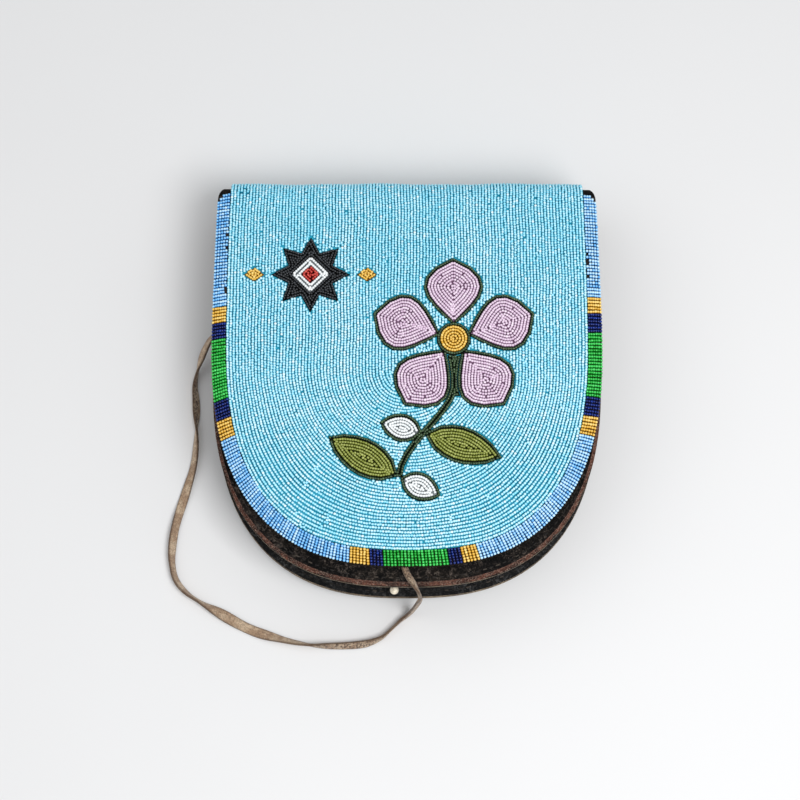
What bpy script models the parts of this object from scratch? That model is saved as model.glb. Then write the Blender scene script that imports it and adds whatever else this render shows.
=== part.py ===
# A beaded belt pouch, lying on its back with the flap closed.
# A D-shaped leather pocket with a gusset, two belt loops behind, a formed flap that folds over
# the mouth, seed beadwork sewn all over the flap, a small ball stud and a leather lace.
# +X is across the pouch, +Y runs up to the fold, +Z comes out of the flap's face.
# The origin is under the middle of the pouch, on the surface that it lies on.

import math

import bmesh
import bpy
import numpy as np
from mathutils import Matrix, Vector

MM = 0.001

# Overall sizes
POUCH_LENGTH = 200 * MM
SEAT_GAP = 0.3 * MM
CUT_OVERRUN = 4 * MM
WELD_GAP = 0.01 * MM
SMOOTH_ANGLE = math.radians(35)
CURVE_POWER = 2.6
ARC_STEPS = 13
SIDE_STEPS = 4

# Pocket
WALL_WIDTH = 175 * MM
WALL_SHOULDER = 92 * MM
BACK_MARGIN = 5.9 * MM
FRONT_MARGIN = 3.5 * MM
GUSSET_DEPTH = 26 * MM
GUSSET_THICKNESS = 1.6 * MM
BACK_THICKNESS = 2.4 * MM
FRONT_THICKNESS = 2.2 * MM
WELT_THICKNESS = 1.2 * MM
MOUTH_CLEARANCE = 3.4 * MM
BACK_CORNER = 5 * MM

# Flap
FLAP_WIDTH = 185 * MM
FLAP_TAPER = 2 * MM
FLAP_LENGTH = 191 * MM
FLAP_SHOULDER = 77 * MM
FLAP_THICKNESS = 2.2 * MM
FLAP_LIFT = 2 * MM
FOLD_RADIUS = 11 * MM
FOLD_STEPS = 7
HIDE_THICKNESS = 0.6 * MM
HIDE_START = 2 * MM
FIELD_START = 4 * MM

# Beadwork
BEAD_HEIGHT = 1.5 * MM
LANE_WIDTH = 7.8 * MM
LANE_VALLEY = 0.5 * MM
FLAT_ANGLE = math.radians(1)
OUTLINE_MARGIN = 1.8 * MM
STRAND_PITCH = 1.6 * MM
STRAND_VALLEY = 0.35 * MM
STRAND_END_DROP = 0.5 * MM
RIM_WIDTH_TOP = 5.8 * MM
RIM_WIDTH_BOTTOM = 7.2 * MM
RIM_OVER_BEND = 1.2 * MM
RIM_CREST_SHARES = (0, 0.45, 1)

# Rim blocks, in strands: down each side from the fold, then across the bottom.
# The two corner blocks take the strands that are left.
RIGHT_BLOCK_COUNTS = (("periwinkle", 32), ("yellow", 5), ("navy", 6),
                      ("green", 20), ("navy", 6), ("yellow", 6))
LEFT_BLOCK_COUNTS = (("periwinkle", 35), ("yellow", 5), ("navy", 5),
                     ("green", 19), ("navy", 6), ("yellow", 6))
BOTTOM_BLOCK_COUNTS = (("yellow", 6), ("navy", 4), ("green", 19), ("navy", 4), ("yellow", 5))
BOTTOM_SHIFT = 3 * MM

# Picture
# Its places are shares of the flap's width and length, its sizes shares of the smaller of the two.
PICTURE_SIZE = min(FLAP_WIDTH, FLAP_LENGTH)
BLOSSOM_ACROSS_SHARE = 0.12
BLOSSOM_DOWN_SHARE = 0.43
BLOSSOM_CENTRE_SHARE = 0.035
PETAL_COUNT = 5
PETAL_LENGTH_SHARE = 0.162
PETAL_WIDTH_SHARE = 0.135
PETAL_FULLNESS = 1.3
PETAL_STEPS = 7
STEM_WIDTH = 3 * MM
STEM_DOWN_SHARE = 0.22
STEM_SWAY_SHARE = 0.14
STEM_START_SHARE = 0.62
CALYX_WIDTH_SHARE = 0.043
STEM_CURVE_POWER = 1.4
STEM_STEPS = 8
LEAF_LENGTH_SHARE = 0.184
LEAF_WIDTH_SHARE = 0.076
BUD_LENGTH_SHARE = 0.092
BUD_WIDTH_SHARE = 0.054
LEAF_FULLNESS = 0.9
LEAF_ROUNDNESS = 0.8
LEAF_LEFT_ANGLE = math.radians(150)
LEAF_RIGHT_ANGLE = math.radians(-18)
BUD_LEFT_ANGLE = math.radians(166)
BUD_RIGHT_ANGLE = math.radians(-25)
STAR_ACROSS_SHARE = -0.249
STAR_DOWN_SHARE = 0.262
STAR_SHARE = 0.103
STAR_WAIST_SHARE = 0.062
STAR_WHITE_SHARE = 0.049
STAR_RED_SHARE = 0.024
STAR_POINT_COUNT = 8
DIAMOND_POINT_COUNT = 4
DART_LENGTH_SHARE = 0.054
DART_WIDTH_SHARE = 0.038
DART_DISTANCE_SHARE = 0.146

# Belt loops
LOOP_WIDTH = 28 * MM
LOOP_LENGTH = 96 * MM
LOOP_THICKNESS = 2.4 * MM
LOOP_GAP = 5.2 * MM
LOOP_SPACING = 92 * MM
LOOP_Y = 8 * MM
LOOP_TAB = 13 * MM
LOOP_SLOPE = 9 * MM
RIVET_HEAD = 8 * MM
RIVET_HEIGHT = 1.2 * MM
RIVET_SHANK = 3.4 * MM
RIVET_BURR_SHARE = 0.8
RIVET_DOME_SHARES = ((0.9, 0.4), (0.5, 0))
ROUND_STEPS = 14

# Closing stud
STUD_X = -6 * MM
STUD_BALL = 4.2 * MM
STUD_NECK = 2 * MM
STUD_REACH = 4 * MM
STUD_BASE = 5.4 * MM
STUD_BASE_HEIGHT = 0.8 * MM
STUD_BASE_SHARE = 0.8
BALL_STEPS = 5
WASHER_WIDTH = 7 * MM
WASHER_HEIGHT = 0.8 * MM

# Lace
LACE_WIDTH = 4.6 * MM
LACE_THICKNESS = 1.4 * MM
LACE_X = -1.5 * MM
LACE_TAB = 8 * MM
LACE_SLIT_UP = 15.1 * MM
LACE_SIDE_DOWN = 71 * MM
LACE_SIDE_UP = 9.2 * MM
LACE_KNOT = 7 * MM
KNOT_SHARES = (1, 0.8, 0.6)
LACE_POINT_COUNT = 72
ROUTE_STEPS = 12

# Levels, from the surface up
BACK_LOW = LOOP_THICKNESS + LOOP_GAP
BACK_TOP = BACK_LOW + BACK_THICKNESS
GUSSET_LOW = BACK_TOP + SEAT_GAP
GUSSET_TOP = GUSSET_LOW + GUSSET_DEPTH
WELT_LOW = GUSSET_TOP + SEAT_GAP
FRONT_LOW = WELT_LOW + WELT_THICKNESS + SEAT_GAP
FRONT_TOP = FRONT_LOW + FRONT_THICKNESS
FLAP_LOW = FRONT_TOP + FLAP_LIFT
FLAP_TOP = FLAP_LOW + FLAP_THICKNESS
HIDE_LOW = FLAP_TOP + SEAT_GAP
HIDE_TOP = HIDE_LOW + HIDE_THICKNESS
BEAD_LOW = HIDE_TOP + SEAT_GAP
BEAD_TOP = BEAD_LOW + BEAD_HEIGHT

# Lines across the pouch
FOLD_Y = POUCH_LENGTH / 2
BEND_Y = FOLD_Y - FOLD_RADIUS
BEND_Z = BEAD_TOP - FOLD_RADIUS
HINGE_Y = BEND_Y + FLAP_TOP - BEND_Z
HINGE_Z = BACK_TOP + SEAT_GAP / 2
MOUTH_Y = HINGE_Y - FLAP_THICKNESS - MOUTH_CLEARANCE
WALL_BOTTOM_Y = -POUCH_LENGTH / 2 + BACK_MARGIN
FLAP_BOTTOM_Y = FOLD_Y - FLAP_LENGTH
LACE_SLIT_Y = WALL_BOTTOM_Y + LACE_SLIT_UP
LACE_SIDE_Y = FOLD_Y - LACE_SIDE_DOWN
LACE_SIDE_Z = GUSSET_LOW + LACE_SIDE_UP
STUD_Z = GUSSET_LOW + GUSSET_DEPTH / 2
HINGE = Vector((0, HINGE_Y, HINGE_Z))

# Places and sizes in the picture
BLOSSOM_X = FLAP_WIDTH * BLOSSOM_ACROSS_SHARE
BLOSSOM_Y = FOLD_Y - FLAP_LENGTH * BLOSSOM_DOWN_SHARE
BLOSSOM_CENTRE = PICTURE_SIZE * BLOSSOM_CENTRE_SHARE
PETAL_LENGTH = PICTURE_SIZE * PETAL_LENGTH_SHARE
PETAL_WIDTH = PICTURE_SIZE * PETAL_WIDTH_SHARE
CALYX_WIDTH = PICTURE_SIZE * CALYX_WIDTH_SHARE
STEM_TOP_Y = BLOSSOM_Y - BLOSSOM_CENTRE - PETAL_LENGTH * STEM_START_SHARE
STEM_DOWN = FLAP_LENGTH * STEM_DOWN_SHARE
STEM_SWAY = FLAP_WIDTH * STEM_SWAY_SHARE
LEAF_SIZE = (PICTURE_SIZE * LEAF_LENGTH_SHARE, PICTURE_SIZE * LEAF_WIDTH_SHARE)
BUD_SIZE = (PICTURE_SIZE * BUD_LENGTH_SHARE, PICTURE_SIZE * BUD_WIDTH_SHARE)
STAR_X = FLAP_WIDTH * STAR_ACROSS_SHARE
STAR_Y = FOLD_Y - FLAP_LENGTH * STAR_DOWN_SHARE
DART_LENGTH = PICTURE_SIZE * DART_LENGTH_SHARE
DART_WIDTH = PICTURE_SIZE * DART_WIDTH_SHARE
DART_DISTANCE = PICTURE_SIZE * DART_DISTANCE_SHARE

# The lace's own route, from its tab on the front panel, over the lower edge, along the surface
# and up to the hole in the gusset's left side.
LACE_ROUTE = (
    (-0.0015, -0.0885, 0.0412), (-0.0008, -0.0920, 0.0412), (0.0008, -0.0954, 0.0414),
    (0.0031, -0.0985, 0.0416), (0.0050, -0.1014, 0.0392), (0.0058, -0.1030, 0.0310),
    (0.0052, -0.1040, 0.0195), (0.0031, -0.1054, 0.0082), (0.0000, -0.1076, 0.0020),
    (-0.0030, -0.1098, 0.0010), (-0.0076, -0.1141, 0.0010), (-0.0124, -0.1182, 0.0010),
    (-0.0195, -0.1208, 0.0010), (-0.0296, -0.1218, 0.0010), (-0.0391, -0.1220, 0.0010),
    (-0.0477, -0.1213, 0.0010), (-0.0616, -0.1184, 0.0010), (-0.0756, -0.1137, 0.0010),
    (-0.0902, -0.1060, 0.0010), (-0.1000, -0.1005, 0.0010), (-0.1065, -0.0960, 0.0010),
    (-0.1113, -0.0900, 0.0010), (-0.1133, -0.0820, 0.0010), (-0.1135, -0.0745, 0.0010),
    (-0.1126, -0.0655, 0.0010), (-0.1100, -0.0546, 0.0010), (-0.1074, -0.0456, 0.0010),
    (-0.1045, -0.0346, 0.0010), (-0.1035, -0.0240, 0.0010), (-0.1035, -0.0129, 0.0010),
    (-0.1041, -0.0016, 0.0010), (-0.1048, 0.0066, 0.0014), (-0.1038, 0.0135, 0.0032),
    (-0.1018, 0.0188, 0.0070), (-0.0992, 0.0230, 0.0118), (-0.0963, 0.0264, 0.0160),
    (-0.0925, 0.0286, 0.0188),
)


# Scene, collections and materials

def clear_scene():
    for old in list(bpy.data.objects):
        bpy.data.objects.remove(old, do_unlink=True)


def new_collection(name):
    group = bpy.data.collections.new(name)
    bpy.context.scene.collection.children.link(group)
    return group


clear_scene()
parts = new_collection("beaded_belt_pouch")
cutters = new_collection("cutters")


def new_material(name, colour, roughness, metallic=0.0):
    made = bpy.data.materials.new(name)
    made.use_nodes = True
    shader = made.node_tree.nodes["Principled BSDF"]
    shader.inputs["Base Color"].default_value = (*colour, 1)
    shader.inputs["Roughness"].default_value = roughness
    shader.inputs["Metallic"].default_value = metallic
    made.diffuse_color = (*colour, 1)
    return made


leather = new_material("black_leather", (0.02, 0.018, 0.017), 0.55)
raw_leather = new_material("raw_leather", (0.2, 0.1, 0.055), 0.8)
suede = new_material("suede", (0.3, 0.22, 0.15), 0.95)
hide = new_material("buckskin", (0.55, 0.45, 0.33), 0.9)
brass = new_material("brass", (0.7, 0.58, 0.38), 0.35, 1.0)
copper = new_material("copper", (0.6, 0.3, 0.18), 0.4, 1.0)
bead_colours = {
    "sky": (0.17, 0.52, 0.72),
    "periwinkle": (0.12, 0.32, 0.72),
    "yellow": (0.85, 0.45, 0.03),
    "navy": (0.01, 0.015, 0.09),
    "green": (0.01, 0.28, 0.04),
    "lilac": (0.5, 0.33, 0.5),
    "dark_green": (0.01, 0.03, 0.015),
    "olive": (0.13, 0.13, 0.03),
    "white": (0.85, 0.85, 0.83),
    "black": (0.01, 0.01, 0.01),
    "red": (0.45, 0.02, 0.02),
}
beads = {name: new_material(f"beads_{name}", colour, 0.25) for name, colour in bead_colours.items()}

hinge = bpy.data.objects.new("flap_hinge", None)
hinge.location = HINGE
parts.objects.link(hinge)


# Modelling helpers

def shade(made):
    made.data.shade_smooth()
    made.data.set_sharp_from_angle(angle=SMOOTH_ANGLE)
    return made


def finish(made, finish_material, on_flap=False):
    made.data.materials.clear()
    made.data.materials.append(finish_material)
    if on_flap:
        made.parent = hinge
        made.matrix_parent_inverse = Matrix.Translation(-HINGE)
    return made


def mesh_object(name, bm, group):
    data = bpy.data.meshes.new(name)
    bmesh.ops.recalc_face_normals(bm, faces=bm.faces)
    bm.to_mesh(data)
    bm.free()
    made = bpy.data.objects.new(name, data)
    group.objects.link(made)
    return made


def as_mesh(curve, group):
    # The curve's mesh with its caps welded, in the curve's place.
    made_of = curve.name
    bpy.context.view_layer.update()
    seen = curve.evaluated_get(bpy.context.evaluated_depsgraph_get())
    data = bpy.data.meshes.new_from_object(seen)
    bm = bmesh.new()
    bm.from_mesh(data)
    bmesh.ops.remove_doubles(bm, verts=bm.verts, dist=WELD_GAP)
    bmesh.ops.recalc_face_normals(bm, faces=bm.faces)
    bm.to_mesh(data)
    bm.free()
    place = curve.matrix_world.copy()
    bpy.data.objects.remove(curve, do_unlink=True)
    made = bpy.data.objects.new(made_of, data)
    made.matrix_world = place
    group.objects.link(made)
    return shade(made)


def poly_curve(name, points, closed, flat, group):
    data = bpy.data.curves.new(name, "CURVE")
    data.dimensions = "2D" if flat else "3D"
    line = data.splines.new("POLY")
    line.points.add(len(points) - 1)
    for knot, point in zip(line.points, points):
        knot.co = (*point, 1) if len(point) == 3 else (*point, 0, 1)
    line.use_cyclic_u = closed
    made = bpy.data.objects.new(name, data)
    group.objects.link(made)
    return made


def plate(name, outline, low, thickness, group=parts):
    # A flat piece: its outline filled and given its thickness, standing on the level low.
    made = poly_curve(name, outline, True, True, group)
    made.data.fill_mode = "BOTH"
    made.data.extrude = thickness / 2
    made.location.z = low + thickness / 2
    return as_mesh(made, group)


waiting_cuts = []


def cut(piece, *tools):
    waiting_cuts.append((piece, tools, "DIFFERENCE"))
    return piece


def join(piece, *tools):
    waiting_cuts.append((piece, tools, "UNION"))
    return piece


def combine(piece, tools, operation):
    # One Boolean for all the tools, which go in a collection of their own.
    group = bpy.data.collections.new(f"{operation.lower()}_{piece.name}")
    cutters.children.link(group)
    for tool in tools:
        tool.hide_render = True
        tool.display_type = "WIRE"
        group.objects.link(tool)
    step = piece.modifiers.new(group.name, "BOOLEAN")
    step.operation = operation
    step.operand_type = "COLLECTION"
    step.collection = group


def cylinder(name, radius, length, place, group, along=None):
    bm = bmesh.new()
    bmesh.ops.create_cone(bm, cap_ends=True, segments=ROUND_STEPS,
                          radius1=radius, radius2=radius, depth=length)
    made = mesh_object(name, bm, group)
    made.location = place
    if along == "Y":
        made.rotation_euler.x = math.pi / 2
    return shade(made)


def box(name, size, place, group):
    bm = bmesh.new()
    bmesh.ops.create_cube(bm, size=1)
    bmesh.ops.scale(bm, vec=size, verts=bm.verts)
    made = mesh_object(name, bm, group)
    made.location = place
    return made


def turned(name, profile, group):
    # A profile of (radius, height) points, top to bottom, turned about Z.
    made = poly_curve(name, [(radius, 0, height) for radius, height in profile], False, False, group)
    turn = made.modifiers.new("turn", "SCREW")
    turn.steps = turn.render_steps = ROUND_STEPS
    turn.merge_threshold = WELD_GAP
    turn.use_merge_vertices = True
    return as_mesh(made, group)


def sheet(name, rows):
    # An open sheet through rows of points, all rows alike in number.
    columns = len(rows[0])
    bm = bmesh.new()
    bmesh.ops.create_grid(bm, x_segments=columns - 1, y_segments=len(rows) - 1, size=1)
    bm.verts.ensure_lookup_table()
    for row, points in enumerate(rows):
        for column, point in enumerate(points):
            bm.verts[row * columns + column].co = point
    return mesh_object(name, bm, parts)


def thicken(made, thickness, offset):
    step = made.modifiers.new("leather", "SOLIDIFY")
    step.thickness = thickness
    step.offset = offset
    step.use_even_offset = True
    return made


# Outlines

def d_side(half_width, top_half, top_y, wide_y, bottom_y):
    # The right-hand side of a D: a slightly bowed side, then a squarish quarter round.
    side = []
    for step in range(SIDE_STEPS):
        up = 1 - step / SIDE_STEPS
        side.append((half_width - (half_width - top_half) * up**2, wide_y + (top_y - wide_y) * up))
    for step in range(ARC_STEPS + 1):
        angle = math.pi / 2 * step / ARC_STEPS
        across = max(math.cos(angle), 0) ** (2 / CURVE_POWER)
        down = math.sin(angle) ** (2 / CURVE_POWER)
        side.append((half_width * across * (step < ARC_STEPS), wide_y - (wide_y - bottom_y) * down))
    return side


def outward(points, index, closed=False):
    # The unit normal on the left of the way along the points.
    last = len(points) - 1
    before = points[index - 1] if closed or index > 0 else points[0]
    after = points[(index + 1) % len(points)] if closed or index < last else points[last]
    along = Vector((after[0] - before[0], after[1] - before[1])).normalized()
    return Vector((-along.y, along.x))


def grown_side(side, margin):
    # A D side moved out by margin, a length or a rule by height; its ends keep their lines.
    grown = []
    for index, (x, y) in enumerate(side):
        away = margin(y) if callable(margin) else margin
        out = outward(side, index)
        grown.append((x + out.x * away, y + out.y * away))
    grown[0] = (grown[0][0], side[0][1])
    grown[-1] = (0, grown[-1][1])
    return grown


def whole(side):
    # Both sides of a D as one closed outline.
    return side + [(-x, y) for x, y in reversed(side[:-1])]


def grown(outline, margin):
    # A closed outline, counterclockwise, moved out by margin.
    moved = []
    for index, (x, y) in enumerate(outline):
        out = outward(outline, index, closed=True)
        moved.append((x - out.x * margin, y - out.y * margin))
    return moved


def rim_width(y):
    down = min(max((FOLD_Y - y) / FLAP_LENGTH, 0), 1)
    return RIM_WIDTH_TOP + (RIM_WIDTH_BOTTOM - RIM_WIDTH_TOP) * down


wall_side = d_side(WALL_WIDTH / 2, WALL_WIDTH / 2, MOUTH_Y, FOLD_Y - WALL_SHOULDER, WALL_BOTTOM_Y)
flap_top_half = (FLAP_WIDTH - FLAP_TAPER) / 2
flap_side = d_side(FLAP_WIDTH / 2, flap_top_half, BEND_Y, FOLD_Y - FLAP_SHOULDER, FLAP_BOTTOM_Y)
field_side = grown_side(flap_side, lambda y: -rim_width(y) - SEAT_GAP)


# Pocket

def rivet_hole(name, x, y):
    height = BACK_TOP + CUT_OVERRUN * 2
    return cylinder(name, RIVET_SHANK / 2 + SEAT_GAP, height, (x, y, BACK_TOP / 2), cutters)


def rivet_places():
    half = (LOOP_LENGTH - LOOP_TAB) / 2
    return [(side, end, side_x, LOOP_Y + end_y)
            for side, side_x in (("left", -LOOP_SPACING / 2), ("right", LOOP_SPACING / 2))
            for end, end_y in (("top", half), ("bottom", -half))]


def make_back_panel():
    low = grown_side(wall_side, BACK_MARGIN)
    top_x = low[0][0]
    corner = [(top_x - BACK_CORNER, HINGE_Y), (top_x, HINGE_Y - BACK_CORNER)]
    panel = plate("back_panel", whole(corner + low[1:]), BACK_LOW, BACK_THICKNESS)
    holes = [rivet_hole(f"back_hole_{side}_{end}", x, y) for side, end, x, y in rivet_places()]
    return finish(cut(panel, *holes), leather)


def make_front_panel():
    panel = plate("front_panel", whole(grown_side(wall_side, FRONT_MARGIN)), FRONT_LOW, FRONT_THICKNESS)
    size = (LACE_WIDTH + SEAT_GAP * 2, LACE_THICKNESS + SEAT_GAP * 2, FRONT_THICKNESS + CUT_OVERRUN)
    slit = box("lace_slit", size, (LACE_X, LACE_SLIT_Y, FRONT_LOW + FRONT_THICKNESS / 2), cutters)
    return finish(cut(panel, slit), leather)


def make_welt():
    # A leather strip in the front seam, as wide as the seam's margin and the gusset's turned edge.
    outer = grown_side(wall_side, FRONT_MARGIN)
    inner = grown_side(wall_side, -GUSSET_THICKNESS)
    ring = whole(outer) + list(reversed(whole(inner)))
    return finish(plate("front_welt", ring, WELT_LOW, WELT_THICKNESS), raw_leather)


def make_gusset():
    # One strip, its two edges turned out where it is sewn to the panels.
    path = whole(wall_side)
    half = GUSSET_THICKNESS / 2
    section = ((BACK_MARGIN, GUSSET_LOW + half), (-half, GUSSET_LOW + half),
               (-half, GUSSET_TOP - half), (FRONT_MARGIN, GUSSET_TOP - half))
    rows = []
    for row, (x, y) in enumerate(path):
        at_end = row in (0, len(path) - 1)
        out = Vector((math.copysign(1, x), 0)) if at_end else outward(path, row)
        rows.append([(x + out.x * away, y + out.y * away, level) for away, level in section])
    strip = thicken(sheet("gusset", rows), GUSSET_THICKNESS, 0)
    stud_hole = cylinder("stud_hole", STUD_NECK / 2 + SEAT_GAP, GUSSET_THICKNESS + CUT_OVERRUN,
                         (STUD_X, WALL_BOTTOM_Y, STUD_Z), cutters, along="Y")
    size = (GUSSET_THICKNESS + CUT_OVERRUN, LACE_WIDTH + SEAT_GAP * 2, LACE_THICKNESS + SEAT_GAP * 2)
    lace_hole = box("lace_hole", size, (-WALL_WIDTH / 2, LACE_SIDE_Y, LACE_SIDE_Z), cutters)
    return finish(cut(strip, stud_hole, lace_hole), leather)


# Belt loops

def make_loop(side, x):
    # A strap with both ends sewn and riveted flat to the back, standing off it in between.
    tab_z = BACK_LOW - SEAT_GAP - LOOP_THICKNESS / 2
    arch_z = LOOP_THICKNESS / 2
    end, inner = LOOP_LENGTH / 2, LOOP_LENGTH / 2 - LOOP_TAB
    line = ((-end, tab_z), (-inner, tab_z), (-inner + LOOP_SLOPE, arch_z),
            (inner - LOOP_SLOPE, arch_z), (inner, tab_z), (end, tab_z))
    rows = [[(-LOOP_WIDTH / 2, y, level), (LOOP_WIDTH / 2, y, level)] for y, level in line]
    strap = thicken(sheet(f"belt_loop_{side}", rows), LOOP_THICKNESS, 0)
    strap.location = (x, LOOP_Y, 0)
    holes = [rivet_hole(f"loop_hole_{side}_{end}", x, y)
             for of_side, end, x, y in rivet_places() if of_side == side]
    return finish(cut(strap, *holes), leather)


def make_rivet(side, end, x, y):
    low = BACK_LOW - SEAT_GAP - LOOP_THICKNESS - SEAT_GAP - RIVET_HEIGHT
    high = BACK_TOP + SEAT_GAP + RIVET_HEIGHT
    head, shank = RIVET_HEAD / 2, RIVET_SHANK / 2
    burr = head * RIVET_BURR_SHARE
    profile = [(0, high), (shank, high), (burr, high - RIVET_HEIGHT / 2), (burr, high - RIVET_HEIGHT),
               (shank, high - RIVET_HEIGHT), (shank, low + RIVET_HEIGHT), (head, low + RIVET_HEIGHT)]
    profile += [(head * across, low + RIVET_HEIGHT * up) for across, up in RIVET_DOME_SHARES]
    profile.append((0, low))
    rivet = turned(f"loop_rivet_{side}_{end}", profile, parts)
    rivet.location = (x, y, 0)
    return finish(rivet, copper)


# Closing stud

def make_stud():
    # A ball on a neck, with its foot on the gusset and its shank set through into a washer.
    # The washer is flat, so it lies where its far edge meets the wall's curve.
    ball, neck, foot = STUD_BALL / 2, STUD_NECK / 2, STUD_BASE / 2
    wall_y = np.interp(abs(STUD_X) + WASHER_WIDTH / 2, *zip(*reversed(wall_side)))
    washer_y = float(wall_y) + GUSSET_THICKNESS + SEAT_GAP + WASHER_HEIGHT / 2
    inside = washer_y + WASHER_HEIGHT / 2 + SEAT_GAP - WALL_BOTTOM_Y
    profile = [(0, STUD_REACH + ball)]
    for step in range(1, BALL_STEPS):
        angle = math.pi / 2 - math.pi * step / BALL_STEPS
        profile.append((ball * math.cos(angle), STUD_REACH + ball * math.sin(angle)))
    foot_top = SEAT_GAP + STUD_BASE_HEIGHT
    profile += [(neck, STUD_REACH - ball), (neck, foot_top), (foot * STUD_BASE_SHARE, foot_top),
                (foot, SEAT_GAP + STUD_BASE_HEIGHT / 2), (foot, SEAT_GAP), (neck, SEAT_GAP),
                (neck, -inside), (0, -inside)]
    stud = turned("closing_stud", profile, parts)
    stud.rotation_euler.x = math.pi / 2
    stud.location = (STUD_X, WALL_BOTTOM_Y, STUD_Z)
    place = (STUD_X, washer_y, STUD_Z)
    washer = cylinder("stud_washer", WASHER_WIDTH / 2, WASHER_HEIGHT, place, parts, along="Y")
    bore_height = WASHER_HEIGHT + CUT_OVERRUN
    bore = cylinder("washer_bore", STUD_NECK / 2 + SEAT_GAP, bore_height, place, cutters, along="Y")
    finish(cut(washer, bore), brass)
    return finish(stud, brass)


# Lace

def smooth_route(points, count):
    # Points at even steps along one smooth curve through the route's own points.
    fine = []
    last = len(points) - 1
    for index in range(last):
        a, b, c, d = (Vector(points[min(max(index + k, 0), last)]) for k in (-1, 0, 1, 2))
        for step in range(ROUTE_STEPS):
            t = step / ROUTE_STEPS
            curve = (2 * a - 5 * b + 4 * c - d) * t**2 + (3 * b - a - 3 * c + d) * t**3
            fine.append((2 * b + (c - a) * t + curve) / 2)
    fine.append(Vector(points[-1]))
    lengths = [0]
    for before, after in zip(fine, fine[1:]):
        lengths.append(lengths[-1] + (after - before).length)
    even, index = [], 0
    for step in range(count):
        wanted = lengths[-1] * step / (count - 1)
        while index < len(fine) - 2 and lengths[index + 1] < wanted:
            index += 1
        share = (wanted - lengths[index]) / (lengths[index + 1] - lengths[index])
        even.append(fine[index].lerp(fine[index + 1], min(share, 1)))
    return even


def make_lace():
    # Each end is a short piece with its knot inside the pocket; the long free stretch lies between.
    tab_z = FRONT_TOP + SEAT_GAP / 2 + LACE_THICKNESS / 2
    tab_y = LACE_SLIT_Y + LACE_THICKNESS / 2 - LACE_TAB
    size = (LACE_WIDTH, LACE_TAB, LACE_THICKNESS)
    root = box("lace_root", size, (LACE_X, tab_y + LACE_TAB / 2, tab_z), parts)
    neck_height = FRONT_THICKNESS + LACE_THICKNESS + LACE_KNOT / 2
    neck_place = (LACE_X, LACE_SLIT_Y, tab_z - neck_height / 2)
    neck = box("lace_neck", (LACE_WIDTH, LACE_THICKNESS, neck_height), neck_place, cutters)
    long, wide, flat = KNOT_SHARES
    knot_sink = LACE_KNOT * flat / 2
    knot_place = (LACE_X, LACE_SLIT_Y, FRONT_LOW - SEAT_GAP - knot_sink)
    join(root, neck, knot("root_knot", knot_place, (long, wide, flat)))
    finish(root, suede)

    wall_x = -WALL_WIDTH / 2
    tail_length = GUSSET_THICKNESS + LACE_KNOT / 2 + SEAT_GAP * 4
    tail_place = (wall_x - SEAT_GAP * 2 + tail_length / 2, LACE_SIDE_Y, LACE_SIDE_Z)
    tail = box("lace_tail", (tail_length, LACE_WIDTH, LACE_THICKNESS), tail_place, parts)
    knot_place = (wall_x + GUSSET_THICKNESS + SEAT_GAP + knot_sink, LACE_SIDE_Y, LACE_SIDE_Z)
    join(tail, knot("tail_knot", knot_place, (flat, long, wide)))
    finish(tail, suede)

    start = (LACE_X, tab_y - SEAT_GAP, tab_z)
    end = (wall_x - SEAT_GAP * 3, LACE_SIDE_Y, LACE_SIDE_Z)
    route = smooth_route((start, *LACE_ROUTE, end), LACE_POINT_COUNT)
    lace = poly_curve("lace", route, False, False, parts)
    lace.data.twist_mode = "Z_UP"
    lace.data.fill_mode = "FULL"
    lace.data.bevel_depth = LACE_THICKNESS / 2
    lace.data.extrude = (LACE_WIDTH - LACE_THICKNESS) / 2
    lace.data.bevel_resolution = 1
    lace.data.use_fill_caps = True
    for point in lace.data.splines[0].points:
        point.tilt = math.pi / 2
    return finish(as_mesh(lace, parts), suede)


def knot(name, place, shares):
    bm = bmesh.new()
    bmesh.ops.create_uvsphere(bm, u_segments=12, v_segments=8, radius=LACE_KNOT / 2)
    bmesh.ops.scale(bm, vec=shares, verts=bm.verts)
    made = mesh_object(name, bm, cutters)
    made.location = place
    return shade(made)


# Flap

def over_fold(low, end):
    # The line of a layer over the fold: from the bend's start round to the wall, down to end.
    radius = low - BEND_Z
    line = []
    for step in range(1, FOLD_STEPS + 1):
        angle = math.pi / 2 * step / FOLD_STEPS
        line.append((BEND_Y + radius * math.sin(angle), BEND_Z + radius * math.cos(angle)))
    line.append((BEND_Y + radius, HINGE_Z + end))
    return line


def flap_layer(name, side, low, thickness, end, finish_material):
    # A layer of the flap, as wide as side says, laid over the fold and down to the hinge.
    line = [(x, y, low) for x, y in reversed(side[:-1])]
    line += [(side[0][0], y, z) for y, z in over_fold(low, end)]
    rows = [[(-x, y, z), (x, y, z)] for x, y, z in line]
    return finish(thicken(sheet(name, rows), thickness, 1), finish_material, on_flap=True)


def make_flap():
    flap_layer("flap_leather", flap_side, FLAP_LOW, FLAP_THICKNESS, SEAT_GAP / 2, leather)
    flap_layer("flap_hide", grown_side(flap_side, -SEAT_GAP * 2), HIDE_LOW, HIDE_THICKNESS, HIDE_START, hide)
    return make_field()


def field_row(share, level):
    # A line of the field, moved in by a share of its half width: up the wall, over the fold,
    # down the right side and round to the middle of the bottom.
    half = max(x for x, _ in field_side)
    wide_y = FOLD_Y - FLAP_SHOULDER
    reach = wide_y - field_side[-1][1]
    left = 1 - half * share / reach
    row = [(x * (1 - share), y if y > wide_y else wide_y - (wide_y - y) * left, level)
           for x, y in field_side]
    fold = [(row[0][0], y, z) for y, z in reversed(over_fold(level, FIELD_START))]
    return fold + row


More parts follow.
